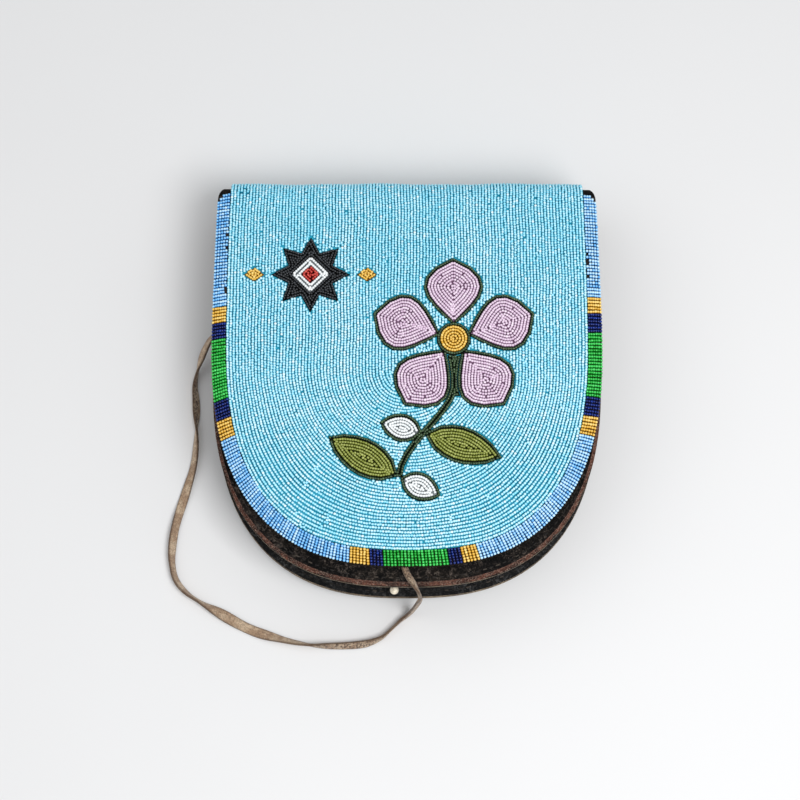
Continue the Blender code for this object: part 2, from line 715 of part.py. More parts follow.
def quads_between(bm, rows):
    # Faces between neighbouring rows of points.
    verts = [[bm.verts.new(point) for point in row] for row in rows]
    return [bm.faces.new((near[index], near[index + 1], far[index + 1], far[index]))
            for near, far in zip(verts, verts[1:]) for index in range(len(near) - 1)]


def make_field():
    # The rows of beads, as nested U-shaped ribs from the field's edge in to its middle line.
    ribs = round(max(x for x, _ in field_side) / LANE_WIDTH)
    shares = [index / ribs / 2 for index in range(2 * ribs + 1)]
    top = [field_row(share, BEAD_TOP if index % 2 else BEAD_TOP - LANE_VALLEY)
           for index, share in enumerate(shares)]
    low = [field_row(share, BEAD_LOW) for share in shares]
    end = [[row[0] for row in top], [row[0] for row in low]]
    bm = bmesh.new()
    for side in (1, -1):
        for rows in (top, low, (top[0], low[0]), end):
            quads_between(bm, [[(side * x, y, z) for x, y, z in row] for row in rows])
    bmesh.ops.remove_doubles(bm, verts=bm.verts, dist=WELD_GAP)
    bmesh.ops.recalc_face_normals(bm, faces=bm.faces)
    bmesh.ops.dissolve_limit(bm, angle_limit=FLAT_ANGLE, verts=bm.verts, edges=bm.edges)
    bmesh.ops.triangulate(bm, faces=bm.faces)
    return finish(mesh_object("bead_field", bm, parts), beads["sky"], on_flap=True)


# Rim beadwork

class Rim:
    # The rim's outer edge, from the right-hand end at the fold round to the left-hand end.
    def __init__(self):
        self.points = whole(flap_side)
        self.at = [0]
        for before, after in zip(self.points, self.points[1:]):
            self.at.append(self.at[-1] + math.dist(before, after))
        self.start = -RIM_OVER_BEND
        self.length = self.at[-1] - 2 * self.start

    def place(self, distance, inward):
        # The point at a distance along the rim, moved inward by a length.
        wanted = self.start + distance
        index = 0
        while index < len(self.at) - 2 and self.at[index + 1] < wanted:
            index += 1
        share = (wanted - self.at[index]) / (self.at[index + 1] - self.at[index])
        here = Vector(self.points[index]).lerp(Vector(self.points[index + 1]), share)
        near = outward(self.points, index)
        far = outward(self.points, index + 1)
        out = near.lerp(far, min(max(share, 0), 1)).normalized()
        return here - out * inward


def rim_blocks():
    # Each block's colour and its first and last strand, right side first.
    total = round(rim.length / STRAND_PITCH)
    right = sum(count for _, count in RIGHT_BLOCK_COUNTS)
    left = sum(count for _, count in LEFT_BLOCK_COUNTS)
    bottom = sum(count for _, count in BOTTOM_BLOCK_COUNTS)
    shift = round(BOTTOM_SHIFT / STRAND_PITCH)
    before = round((total - bottom) / 2) - shift - right
    after = total - right - before - bottom - left
    order = list(RIGHT_BLOCK_COUNTS) + [("periwinkle", before)] + list(reversed(BOTTOM_BLOCK_COUNTS))
    order += [("periwinkle", after)] + list(reversed(LEFT_BLOCK_COUNTS))
    blocks, first = [], 0
    for colour, count in order:
        blocks.append((colour, first, first + count))
        first += count
    return blocks, total


def make_rim_block(name, colour, first, last, pitch):
    # A row of strands side by side: each is a ridge, and it drops at the flap's edge.
    rows = []
    for half in range(2 * (last - first) + 1):
        distance = pitch * (first + half / 2)
        distance += SEAT_GAP / 2 * ((half == 0) - (half == 2 * (last - first)))
        rows.append((distance, BEAD_TOP if half % 2 else BEAD_TOP - STRAND_VALLEY))
    points = []
    for distance, level in rows:
        width = rim_width(rim.place(distance, 0).y)
        points.append([(*rim.place(distance, width * (1 - share)), level - STRAND_END_DROP * (share == 1))
                       for share in RIM_CREST_SHARES])
    block = sheet(name, points)
    bm = bmesh.new()
    bm.from_mesh(block.data)
    under = bmesh.ops.extrude_face_region(bm, geom=list(bm.faces))["geom"]
    for vert in (made for made in under if isinstance(made, bmesh.types.BMVert)):
        vert.co.z = BEAD_LOW
    bmesh.ops.dissolve_faces(bm, faces=[made for made in under if isinstance(made, bmesh.types.BMFace)])
    bmesh.ops.recalc_face_normals(bm, faces=bm.faces)
    bm.to_mesh(block.data)
    bm.free()
    return finish(block, beads[colour], on_flap=True)


def make_rim():
    blocks, total = rim_blocks()
    for number, (colour, first, last) in enumerate(blocks, 1):
        make_rim_block(f"rim_{number:02d}_{colour}", colour, first, last, rim.length / total)


# Picture beadwork

def leaf_shape(length, width, place, angle, fullness):
    # A closed outline from its root along its length; fullness above 1 is widest near the tip.
    outline = []
    for step in range(2 * PETAL_STEPS):
        there = step if step <= PETAL_STEPS else 2 * PETAL_STEPS - step
        along = there / PETAL_STEPS
        side = -1 if step <= PETAL_STEPS else 1
        across = side * width / 2 * math.sin(math.pi * along**fullness) ** LEAF_ROUNDNESS
        outline.append((length * along, across if 0 < there < PETAL_STEPS else 0))
    turn = Matrix.Rotation(angle, 2)
    return [tuple(Vector(place) + turn @ Vector(point)) for point in outline]


def round_shape(radius, place, points, waist=None):
    # A circle, or with a waist a star.
    count = points * (2 if waist else 1)
    return [(place[0] + (waist if waist and step % 2 else radius) * math.sin(-2 * math.pi * step / count),
             place[1] + (waist if waist and step % 2 else radius) * math.cos(-2 * math.pi * step / count))
            for step in range(count)]


def dart_shape(length, width, place):
    return [(place[0] + length / 2, place[1]), (place[0], place[1] + width / 2),
            (place[0] - length / 2, place[1]), (place[0], place[1] - width / 2)]


def band_shape(points, width):
    # A closed outline as wide as width along a line of points.
    left = [tuple(Vector(point) + outward(points, index) * width / 2) for index, point in enumerate(points)]
    right = [tuple(Vector(point) - outward(points, index) * width / 2) for index, point in enumerate(points)]
    return right + left[::-1]


def holes_for(piece, shapes, margin):
    # A cutter for each shape of the picture, larger than it by margin.
    thickness = BEAD_HEIGHT + CUT_OVERRUN
    low = BEAD_LOW - CUT_OVERRUN / 2
    return [plate(f"{name}_from_{piece.name}", grown(shape, margin), low, thickness, cutters)
            for name, shape in shapes.items()]


def bead_plate(name, outline, colour):
    return finish(plate(name, outline, BEAD_LOW, BEAD_HEIGHT), beads[colour], on_flap=True)


def stem_line():
    # The stem's middle, from the blossom down in a gentle bend.
    line = []
    for step in range(STEM_STEPS + 1):
        along = step / STEM_STEPS
        sway = STEM_SWAY * math.sin(math.pi / 2 * along**STEM_CURVE_POWER)
        line.append((BLOSSOM_X - sway, STEM_TOP_Y - STEM_DOWN * along))
    return line


def blossom_shapes():
    # The centre's outline, then each petal's.
    centre = (BLOSSOM_X, BLOSSOM_Y)
    shapes = {"blossom_centre": round_shape(BLOSSOM_CENTRE, centre, ROUND_STEPS)}
    for number in range(PETAL_COUNT):
        angle = math.pi / 2 + 2 * math.pi * number / PETAL_COUNT
        out = Vector((math.cos(angle), math.sin(angle)))
        root = Vector(centre) + out * (BLOSSOM_CENTRE + OUTLINE_MARGIN + SEAT_GAP)
        shapes[f"petal_{number + 1}"] = leaf_shape(PETAL_LENGTH, PETAL_WIDTH, root, angle, PETAL_FULLNESS)
    return shapes


def leaf_shapes(line):
    # The outlines of the leaves and buds, each standing off the stem by half its frame.
    fork, tip = line[STEM_STEPS // 2], line[-1]
    leaves = (("leaf_left", tip, LEAF_LEFT_ANGLE, LEAF_SIZE),
              ("leaf_right", fork, LEAF_RIGHT_ANGLE, LEAF_SIZE),
              ("bud_left", fork, BUD_LEFT_ANGLE, BUD_SIZE),
              ("bud_right", tip, BUD_RIGHT_ANGLE, BUD_SIZE))
    shapes = {}
    for name, foot, angle, size in leaves:
        out = Vector((math.cos(angle), math.sin(angle)))
        root = Vector(foot) + out * (STEM_WIDTH + OUTLINE_MARGIN) / 2
        shapes[name] = leaf_shape(*size, root, angle, LEAF_FULLNESS)
    return shapes


def frames_of(shapes):
    # The dark row of beads round each shape, as a plate that the shape is then cut from.
    return [plate(f"{name}_frame", grown(shape, OUTLINE_MARGIN), BEAD_LOW, BEAD_HEIGHT, cutters)
            for name, shape in shapes.items()]


def make_blossom(shapes):
    rows = frames_of(shapes)
    frame = bead_plate("blossom_outline", grown(shapes["blossom_centre"], OUTLINE_MARGIN / 2), "dark_green")
    join(frame, *rows)
    cut(frame, *holes_for(frame, shapes, SEAT_GAP))
    for name, shape in shapes.items():
        bead_plate(name, shape, "yellow" if name == "blossom_centre" else "lilac")


def stem_shapes():
    # The stem, and the calyx that fills the space between the two lower petals.
    line = stem_line()
    calyx = [(BLOSSOM_X, BLOSSOM_Y - BLOSSOM_CENTRE), (BLOSSOM_X, STEM_TOP_Y - STEM_WIDTH)]
    return {"stem": band_shape(line, STEM_WIDTH), "calyx": band_shape(calyx, CALYX_WIDTH)}, line


def make_stem(stem, leaves, blossom):
    frame = bead_plate("stem_outline", stem["stem"], "dark_green")
    join(frame, plate("calyx", stem["calyx"], BEAD_LOW, BEAD_HEIGHT, cutters), *frames_of(leaves))
    around = holes_for(frame, blossom, OUTLINE_MARGIN + SEAT_GAP)
    cut(frame, *around, *holes_for(frame, leaves, SEAT_GAP))
    for name, shape in leaves.items():
        bead_plate(name, shape, "olive" if name.startswith("leaf") else "white")


def star_shapes():
    place = (STAR_X, STAR_Y)
    waist = PICTURE_SIZE * STAR_WAIST_SHARE
    return {
        "star_black": round_shape(PICTURE_SIZE * STAR_SHARE, place, STAR_POINT_COUNT, waist),
        "star_white": round_shape(PICTURE_SIZE * STAR_WHITE_SHARE, place, DIAMOND_POINT_COUNT),
        "star_red": round_shape(PICTURE_SIZE * STAR_RED_SHARE, place, DIAMOND_POINT_COUNT),
        "dart_left": dart_shape(DART_LENGTH, DART_WIDTH, (STAR_X - DART_DISTANCE, STAR_Y)),
        "dart_right": dart_shape(DART_LENGTH, DART_WIDTH, (STAR_X + DART_DISTANCE, STAR_Y)),
    }


def make_star(star):
    for name, shape in star.items():
        made = bead_plate(name, shape, name.split("_")[1] if name.startswith("star") else "yellow")
        inner = {"star_black": "star_white", "star_white": "star_red"}.get(name)
        if inner:
            cut(made, *holes_for(made, {inner: star[inner]}, SEAT_GAP))


def make_picture(field):
    # The pieces of the picture, and the places for them in the field.
    blossom, star = blossom_shapes(), star_shapes()
    stem, line = stem_shapes()
    leaves = leaf_shapes(line)
    make_blossom(blossom)
    make_stem(stem, leaves, blossom)
    make_star(star)
    framed = holes_for(field, {**blossom, **leaves}, OUTLINE_MARGIN + SEAT_GAP)
    bare = {name: shape for name, shape in star.items() if name not in ("star_white", "star_red")}
    cut(field, *framed, *holes_for(field, {**stem, **bare}, SEAT_GAP))


# Assembly
make_back_panel()
make_gusset()
make_welt()
make_front_panel()
make_loop("left", -LOOP_SPACING / 2)
make_loop("right", LOOP_SPACING / 2)
for rivet_place in rivet_places():
    make_rivet(*rivet_place)
make_stud()
make_lace()
bead_field = make_flap()
rim = Rim()
make_rim()
make_picture(bead_field)
# The cuts and joints come last, because each piece made after one would work it out again.
for waiting_cut in waiting_cuts:
    combine(*waiting_cut)
print("parts:", len(parts.objects) - 1)
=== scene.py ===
import math

import bmesh
import bpy
import numpy as np
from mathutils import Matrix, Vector


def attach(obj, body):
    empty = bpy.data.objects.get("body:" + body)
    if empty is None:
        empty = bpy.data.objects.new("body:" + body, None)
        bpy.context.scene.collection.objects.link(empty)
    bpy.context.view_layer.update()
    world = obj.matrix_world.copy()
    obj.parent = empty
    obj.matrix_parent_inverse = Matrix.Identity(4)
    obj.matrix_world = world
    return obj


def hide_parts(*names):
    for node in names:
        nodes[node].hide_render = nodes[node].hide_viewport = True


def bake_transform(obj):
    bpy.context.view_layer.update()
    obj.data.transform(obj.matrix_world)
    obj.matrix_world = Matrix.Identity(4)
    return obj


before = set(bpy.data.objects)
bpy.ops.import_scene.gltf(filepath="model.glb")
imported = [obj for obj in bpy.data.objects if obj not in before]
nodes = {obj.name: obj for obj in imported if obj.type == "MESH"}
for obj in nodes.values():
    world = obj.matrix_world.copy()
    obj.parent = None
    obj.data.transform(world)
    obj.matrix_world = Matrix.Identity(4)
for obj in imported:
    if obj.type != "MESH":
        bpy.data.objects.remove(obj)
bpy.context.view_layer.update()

mm = 0.001
dice = np.random.default_rng(11)


# Camera, lights and floor

view = {"lens": 81.38, "sensor": 36, "tilt": 15, "place": (-0.0033, -0.2319, 0.8660)}
light = {"lamps": (("key_lamp", 7.0, 0.5, (0.33, -0.36, 0.92)),   # name, power, size and place
                   ("fill_lamp", 1.6, 1.0, (-0.7, 0.1, 0.9))),
         "aim": (0, 0, 0.02), "sky": (0.985, 0.992, 1), "skyStrength": 0.52}
floor = {"size": 4.0, "colour": (0.805, 0.807, 0.812), "dusk": 0.97, "roughness": 0.75}


def placed(name, data):
    # A new object, put into the scene.
    piece = bpy.data.objects.new(name, data)
    bpy.context.scene.collection.objects.link(piece)
    return piece


def makeCamera():
    camera = placed("camera", bpy.data.cameras.new("camera"))
    camera.data.lens, camera.data.sensor_width = view["lens"], view["sensor"]
    camera.location = view["place"]
    camera.rotation_euler = (math.radians(view["tilt"]), 0, 0)
    bpy.context.scene.camera = camera


def makeLights():
    for name, power, size, place in light["lamps"]:
        lamp = placed(name, bpy.data.lights.new(name, "AREA"))
        lamp.data.energy, lamp.data.size = power, size
        lamp.location = place
        lamp.rotation_euler = (Vector(light["aim"]) - lamp.location).to_track_quat("-Z", "Y").to_euler()
    world = bpy.data.worlds.new("studio")
    world.use_nodes = True
    sky = world.node_tree.nodes["Background"]
    sky.inputs["Color"].default_value = (*light["sky"], 1)
    sky.inputs["Strength"].default_value = light["skyStrength"]
    bpy.context.scene.world = world
    bpy.context.scene.view_settings.view_transform = "Standard"


# Materials

class Wire:
    # A socket that can stand in a sum: each operator adds its Math node.
    def __init__(self, paint, socket):
        self.paint, self.socket = paint, socket

    def sum(self, operation, first, second):
        return self.paint.node("Math", {"operation": operation}, {0: first, 1: second})

    def __add__(self, other):
        return self.sum("ADD", self, other)

    def __sub__(self, other):
        return self.sum("SUBTRACT", self, other)

    def __rsub__(self, other):
        return self.sum("SUBTRACT", other, self)

    def __mul__(self, other):
        return self.sum("MULTIPLY", self, other)

    __radd__, __rmul__ = __add__, __mul__


class Paint:
    # A material: its one shader, and the nodes that feed it.
    def __init__(self, name, **fixed):
        self.material = bpy.data.materials.new(name)
        self.material.use_nodes = True
        self.tree = self.material.node_tree
        self.skin = self.tree.nodes["Principled BSDF"]
        for socket, value in fixed.items():
            self.skin.inputs[socket.replace("_", " ")].default_value = value

    def node(self, kind, settings=None, sockets=None, out=0):
        made = self.tree.nodes.new("ShaderNode" + kind)
        for setting, value in (settings or {}).items():
            if setting == "stops":
                for stop, (place, colour) in enumerate(value):
                    if stop > 1:
                        made.color_ramp.elements.new(place)
                    made.color_ramp.elements[stop].position = place
                    made.color_ramp.elements[stop].color = (*colour, 1)
            else:
                setattr(made, setting, value)
        for socket, value in (sockets or {}).items():
            if isinstance(value, Wire):
                self.tree.links.new(value.socket, made.inputs[socket])
            elif isinstance(value, tuple) and len(value) == 3 and made.inputs[socket].type == "RGBA":
                made.inputs[socket].default_value = (*value, 1)
            else:
                made.inputs[socket].default_value = value
        return Wire(self, made.outputs[out])

    def feed(self, **sockets):
        for socket, wire in sockets.items():
            self.tree.links.new(wire.socket, self.skin.inputs[socket.replace("_", " ")])
        return self.material

    def place(self):
        return self.node("TexCoord", out="Object")

    def stretched(self, scale=(1, 1, 1), turn=(0, 0, 0)):
        return self.node("Mapping", sockets={"Vector": self.place(), "Scale": scale, "Rotation": turn})

    def noise(self, scale, detail=3, roughness=0.55, vector=None):
        return self.node("TexNoise", sockets={"Vector": vector or self.place(), "Scale": scale,
                                              "Detail": detail, "Roughness": roughness})

    def cells(self, scale, vector=None, feature="F1"):
        return self.node("TexVoronoi", {"feature": feature},
                         {"Vector": vector or self.place(), "Scale": scale})

    def fade(self, value, low, high):
        # 0 below low and 1 above high, eased in between.
        return self.node("MapRange", {"interpolation_type": "SMOOTHSTEP"},
                         {"Value": value, "From Min": low, "From Max": high})

    def spots(self, scale, detail, roughness, low, high, vector=None):
        # Noise made into spots: 1 on them and 0 between them.
        return self.fade(self.noise(scale, detail, roughness, vector), low, high)

    def mix(self, share, first, second):
        # Sockets 0, 6 and 7 are the share and the two colours, and socket 2 their mixture.
        return self.node("Mix", {"data_type": "RGBA"}, {0: share, 6: first, 7: second}, 2)

    def coats(self, tone, *coats):
        # Colours laid over a tone one by one, each with its own share.
        for share, colour in coats:
            tone = self.mix(share, tone, colour)
        return tone

    def ramp(self, value, *stops):
        return self.node("ValToRGB", {"stops": stops}, {0: value})

    def own(self, name):
        # A value that the mesh has at each of its points.
        return self.node("Attribute", {"attribute_name": name}, out="Fac")

    def bump(self, height, strength, distance):
        return self.node("Bump", sockets={"Height": height, "Strength": strength, "Distance": distance})


def fromPhoto(*colours):
    # Colours written as 0 to 255, made linear.
    return [tuple(c / 255 / 12.92 if c < 10.3 else ((c / 255 + 0.055) / 1.055) ** 2.4 for c in colour)
            for colour in colours]


def beadGlass(name, shade, middle, pale):
    # Opaque glass: a painted highlight pales its crown and painted shade deepens its sides, each bead
    # with its own tint.
    paint = Paint(name, Specular_IOR_Level=0.4)
    # the crown's height picks painted shade on the sides, the body colour, then a painted highlight on
    # top
    height = paint.own("crown") * 0.62 + paint.own("tint") * 0.3 + paint.noise(1800, 1) * 0.08
    tone = paint.ramp(height, (0.16, shade), (0.58, middle), (0.86, pale))
    return paint.feed(Base_Color=tone, Roughness=paint.noise(900, 2) * 0.16 + 0.1)


def leatherPaint(name, base, worn, scuff, roughness):
    # Dyed leather: pores, creases, patches rubbed back to brown, dry scratches, specks and grit.
    paint = Paint(name, Specular_IOR_Level=0.05)
    askew = paint.stretched(turn=(0.5, 0.4, 0.7))
    creases = paint.cells(230, paint.stretched((1, 1.35, 1)), "DISTANCE_TO_EDGE")
    rubbed = paint.spots(34, 6, 0.7, 0.44, 0.66)
    patches = paint.spots(90, 4, 0.7, 0.43, 0.58, askew)
    mottled = paint.spots(240, 5, 0.75, 0.47, 0.60, askew)
    scratches = paint.spots(130, 5, 0.75, 0.58, 0.67, paint.stretched((1, 3, 1), (0, 0, 0.6)))
    specks = paint.spots(520, 5, 0.8, 0.54, 0.61, askew)
    grit = paint.spots(1200, 3, 0.8, 0.56, 0.62, askew)
    tone = paint.coats(base, (rubbed * 0.35 + mottled * patches * 0.65, worn), (scratches * 0.15, scuff),
                       (specks * (rubbed * 0.15 + patches * 0.38 + 0.05), scuff),
                       (grit * (rubbed * 0.15 + patches * 0.32 + 0.07), scuff))
    height = (paint.cells(1100) * 0.5 + paint.fade(creases, 0, 0.16) * 0.6
              + paint.noise(3000, 2) * 0.3 - scratches * 0.4)
    return paint.feed(Base_Color=tone, Roughness=paint.noise(120, 3) * 0.2 + roughness + rubbed * 0.14,
                      Normal=paint.bump(height, 0.6, 0.0002))


def rawEdgePaint(name, base, dark, pale):
    # The cut edge of leather: fibres along it, with dark grime and pale flecks.
    paint = Paint(name, Specular_IOR_Level=0.15)
    fibres = paint.noise(1500, 4, 0.7, paint.stretched((0.25, 0.25, 2.2)))
    grime = paint.spots(120, 5, 0.75, 0.44, 0.58)
    pits = paint.spots(1000, 4, 0.8, 0.46, 0.56)
    flecks = paint.spots(1500, 3, 0.8, 0.53, 0.60)
    tone = paint.coats(base, (grime * 0.8, dark), (pits * 0.7, dark), (flecks * 0.55, pale))
    return paint.feed(Base_Color=tone, Roughness=fibres * 0.3 + 0.62,
                      Normal=paint.bump(fibres - pits * 0.8, 0.7, 0.0003))


def suedePaint(name, base, dark, pale):
    # Napped hide: mottled, with short fibres, and pitted on its grain side; painted shade darkens its cut
    # edges.
    paint = Paint(name, Specular_IOR_Level=0.2, Sheen_Weight=0.25, Sheen_Roughness=0.5)
    grain, nap = paint.own("grain"), paint.noise(2600, 3, 0.8)
    mottle = paint.spots(170, 4, 0.65, 0.42, 0.60)
    pits = paint.spots(1000, 2, 0.6, 0.50, 0.57)
    fine = paint.spots(1500, 3, 0.75, 0.50, 0.56)
    tone = paint.coats(base, (mottle, pale), (pits * (grain * 0.55 + 0.12) + grain * 0.12, dark),
                       (fine * 0.4, dark), (paint.own("edge") * 0.8, dark))
    return paint.feed(Base_Color=tone, Roughness=nap * 0.15 + 0.82,
                      Normal=paint.bump(nap - pits * 0.6, 0.7, 0.0003))


def hidePaint(name, base, dark):
    # A sheet under the beads, its given colours painted to stand for what shows between the rows (painted
    # shade; under the sky field, painted light through the glass), with grimy spots.
    paint = Paint(name, Specular_IOR_Level=0.2)
    tone = paint.mix(paint.spots(90, 4, 0.6, 0.4, 0.7), base, dark)
    nap = paint.noise(2200, 3, 0.7)
    return paint.feed(Base_Color=tone, Roughness=nap * 0.1 + 0.85, Normal=paint.bump(nap, 0.5, 0.0002))


def metalPaint(name, bright, tarnish, amount, roughness, metal):
    # Old metal: bright where it is rubbed, dull and stained elsewhere, with fine scratches.
    paint = Paint(name)
    stain = paint.spots(420, 4, 0.65, 0.5 - amount * 0.3, 0.78 - amount * 0.3)
    hair = paint.noise(5200, 3, 0.7, paint.stretched((1, 0.12, 1), (0, 0, 0.5)))
    return paint.feed(Base_Color=paint.mix(stain, bright, tarnish),
                      Metallic=metal - stain * 0.35 * metal,
                      Roughness=stain * 0.3 + hair * 0.12 + roughness,
                      Normal=paint.bump(hair, 0.3, 0.00004))


def threadPaint(name, base, dark, pale):
    # Waxed linen thread, twisted; a few stitches are rubbed pale.
    paint = Paint(name, Specular_IOR_Level=0.3)
    ply = paint.noise(2600, 2, 0.6, paint.stretched(turn=(0.4, 0.4, 0.7)))
    tone = paint.coats(base, (paint.spots(160, 3, 0.55, 0.4, 0.65), dark),
                       (paint.fade(paint.own("tint"), 0.72, 0.95) * 0.85, pale))
    return paint.feed(Base_Color=tone, Roughness=ply * 0.2 + 0.6, Normal=paint.bump(ply, 0.6, 0.00012))


def floorPaint():
    paint = Paint("studio_floor", Specular_IOR_Level=0.1, Roughness=floor["roughness"])
    dusk = tuple(c * floor["dusk"] for c in floor["colour"])
    return paint.feed(Base_Color=paint.mix(paint.noise(6, 2), floor["colour"], dusk))


leatherTones = {                                          # its dye, worn and scuffed, and its roughness
    "black": ((0.0018, 0.0018, 0.0019), (0.018, 0.014, 0.011), (0.16, 0.13, 0.11), 0.5),
    "gusset": ((0.0050, 0.0053, 0.0057), (0.022, 0.022, 0.022), (0.15, 0.15, 0.15), 0.5),
    "flap": ((0.004, 0.0035, 0.003), (0.014, 0.008, 0.005), (0.05, 0.035, 0.026), 0.55),
    "loop": ((0.010, 0.008, 0.007), (0.045, 0.028, 0.019), (0.15, 0.12, 0.10), 0.5),
}
leather = {kind: leatherPaint(f"{kind}_leather", *tones) for kind, tones in leatherTones.items()}
rawEdge = rawEdgePaint("raw_edge", *fromPhoto((114, 72, 58), (42, 31, 28), (184, 158, 142)))
cutEdge = rawEdgePaint("cut_edge", *fromPhoto((150, 132, 108), (74, 62, 52), (196, 182, 160)))
darkEdge = rawEdgePaint("inked_edge", *fromPhoto((48, 38, 33), (24, 21, 20), (92, 72, 58)))
laceSuede = suedePaint("lace_suede", *fromPhoto((172, 144, 118), (60, 42, 32), (208, 184, 156)))
# dark brown: painted shade between the beads
buckskin = hidePaint("buckskin", *fromPhoto((58, 48, 42), (26, 22, 20)))
# teal: painted light through the glass, seen between the sky beads
glassLightGround = hidePaint("glass_light_ground", *fromPhoto((56, 188, 216), (30, 146, 174)))
brass = metalPaint("brass", *fromPhoto((255, 246, 224), (140, 114, 90)), 0.22, 0.5, 0.1)
copper = metalPaint("copper", (0.72, 0.36, 0.22), (0.20, 0.11, 0.075), 0.75, 0.34, 1.0)
waxedThread = threadPaint("waxed_thread", *fromPhoto((34, 30, 27), (22, 20, 19), (74, 66, 58)))
glassTones = {                                            # painted shade at its sides, its body, a painted highlight on its crown
    "sky": ((48, 170, 202), (140, 228, 252), (236, 253, 255)),
    "lilac": ((140, 102, 134), (216, 188, 214), (246, 232, 244)),
    "periwinkle": ((20, 84, 170), (98, 184, 246), (204, 238, 254)),
    "yellow": ((122, 72, 8), (222, 168, 44), (252, 222, 132)),
    "navy": ((0, 4, 30), (0, 12, 72), (6, 50, 146)),
    "green": ((0, 64, 14), (0, 154, 38), (76, 216, 104)),
    "dark_green": ((6, 14, 6), (30, 50, 28), (80, 104, 70)),
    "olive": ((38, 44, 8), (116, 126, 42), (176, 184, 104)),
    "white": ((146, 154, 158), (232, 238, 240), (252, 253, 253)),
    "black": ((3, 3, 4), (15, 17, 19), (56, 60, 66)),
    "red": ((72, 4, 6), (172, 24, 22), (222, 98, 86)),
}
glass = {colour: beadGlass(f"{colour}_glass", *fromPhoto(*tones))
         for colour, tones in glassTones.items()}
print("materials made")


# Modelling helpers

def only(piece):
    bpy.ops.object.select_all(action="DESELECT")
    piece.select_set(True)
    bpy.context.view_layer.objects.active = piece


def edit(piece, chosen=None):
    # Into edit mode with every vertex selected, or only the chosen ones.
    only(piece)
    bpy.ops.object.mode_set(mode="EDIT")
    bpy.ops.mesh.select_mode(type="VERT")
    bpy.ops.mesh.select_all(action="DESELECT" if chosen else "SELECT")
    if chosen:
        shape = bmesh.from_edit_mesh(piece.data)
        for vert in shape.verts:
            vert.select_set(chosen(vert.co))
        shape.select_flush_mode()
        shape.select_flush(True)
        bmesh.update_edit_mesh(piece.data)


def done():
    bpy.ops.object.mode_set(mode="OBJECT")


def faceOut():
    # Turns every face outward, and leaves edit mode.
    bpy.ops.mesh.select_all(action="SELECT")
    bpy.ops.mesh.normals_make_consistent(inside=False)
    done()


def smooth(piece, angle):
    only(piece)
    bpy.ops.object.shade_smooth_by_angle(angle=math.radians(angle))


def modify(piece, kind, **settings):
    only(piece)
    modifier = piece.modifiers.new(kind.lower(), kind)
    for setting, value in settings.items():
        setattr(modifier, setting, value)
    bpy.ops.object.modifier_apply(modifier=modifier.name)


def rounded(piece, rounding, segments=2):
    # Its sharp edges rounded by so many mm, and the rest shaded smooth.
    modify(piece, "BEVEL", width=rounding * mm, segments=segments, limit_method="ANGLE",
           angle_limit=math.radians(50))
    smooth(piece, 40)
    return piece


def named(piece, name, *materials):
    piece.name = piece.data.name = name
    piece.data.materials.clear()
    for material in materials:
        piece.data.materials.append(material)
    return piece


def finished(piece, body, *cadNodes, slot=None):
    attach(piece, body)
    if cadNodes:
        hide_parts(*cadNodes)
    return piece


def fromRows(name, rows, closedAcross=False):
    # A sheet of faces through rows of points, as a lofted skin.
    count = len(rows[0])
    points = [tuple(point) for row in rows for point in row]
    faces = []
    for row in range(len(rows) - 1):
        for column in range(count if closedAcross else count - 1):
            here, there = row * count + column, row * count + (column + 1) % count
            faces.append((here, there, there + count, here + count))
    mesh = bpy.data.meshes.new(name)
    mesh.from_pydata(points, [], faces)
    return placed(name, mesh)


def modelOf(piece):
    # A small model as arrays, to be copied many times; the object itself goes.
    mesh = piece.data
    verts = np.array([vert.co for vert in mesh.vertices])
    loops = np.array([index for polygon in mesh.polygons for index in polygon.vertices])
    starts = np.array([polygon.loop_start for polygon in mesh.polygons])
    bpy.data.objects.remove(piece)
    return verts, loops, starts


def mark(mesh, name, values):
    # A value at each of a mesh's points, for its material to read.
    mesh.attributes.new(name, "FLOAT", "POINT").data.foreach_set("value", values.astype(np.float32))


def copies(name, model, places, frames, sizes, tints):
    # Each copy is the model's own mesh again, turned to its frame and set at its place.
    verts, loops, starts = model
    count, corners = len(places), len(verts)
    each = np.arange(count)[:, None]
    local = verts[None] * sizes[:, None, :] * mm
    points = places[:, None, :] + np.einsum("nvk,nkj->nvj", local, frames)
    mesh = bpy.data.meshes.new(name)
    mesh.vertices.add(count * corners)
    mesh.vertices.foreach_set("co", points.astype(np.float32).ravel())
    mesh.loops.add(count * len(loops))
    mesh.loops.foreach_set("vertex_index", (loops + corners * each).astype(np.int32).ravel())
    mesh.polygons.add(count * len(starts))
    mesh.polygons.foreach_set("loop_start", (starts + len(loops) * each).astype(np.int32).ravel())
    mesh.polygons.foreach_set("use_smooth", np.ones(count * len(starts), bool))
    mesh.update(calc_edges=True)
    mark(mesh, "tint", np.repeat(tints, corners))
    # about -1 underneath and 1 on its crown; the glass paints a highlight where this is high and shade
    # where it is low
    height = verts[:, 2] / (0.4 * verts[:, 2].max() + 0.6 * np.hypot(verts[:, 1], verts[:, 2]))
    mark(mesh, "crown", np.tile(height, count))
    return placed(name, mesh)


def dressed(node, name, rounding, material):
    # A copy of a CAD node with its edges rounded.
    piece = named(placed(name, nodes[node].data.copy()), name, material)
    edit(piece)
    bpy.ops.mesh.remove_doubles(threshold=0.00001)
    bpy.ops.mesh.dissolve_limited(angle_limit=math.radians(1))
    done()
    return rounded(piece, rounding)


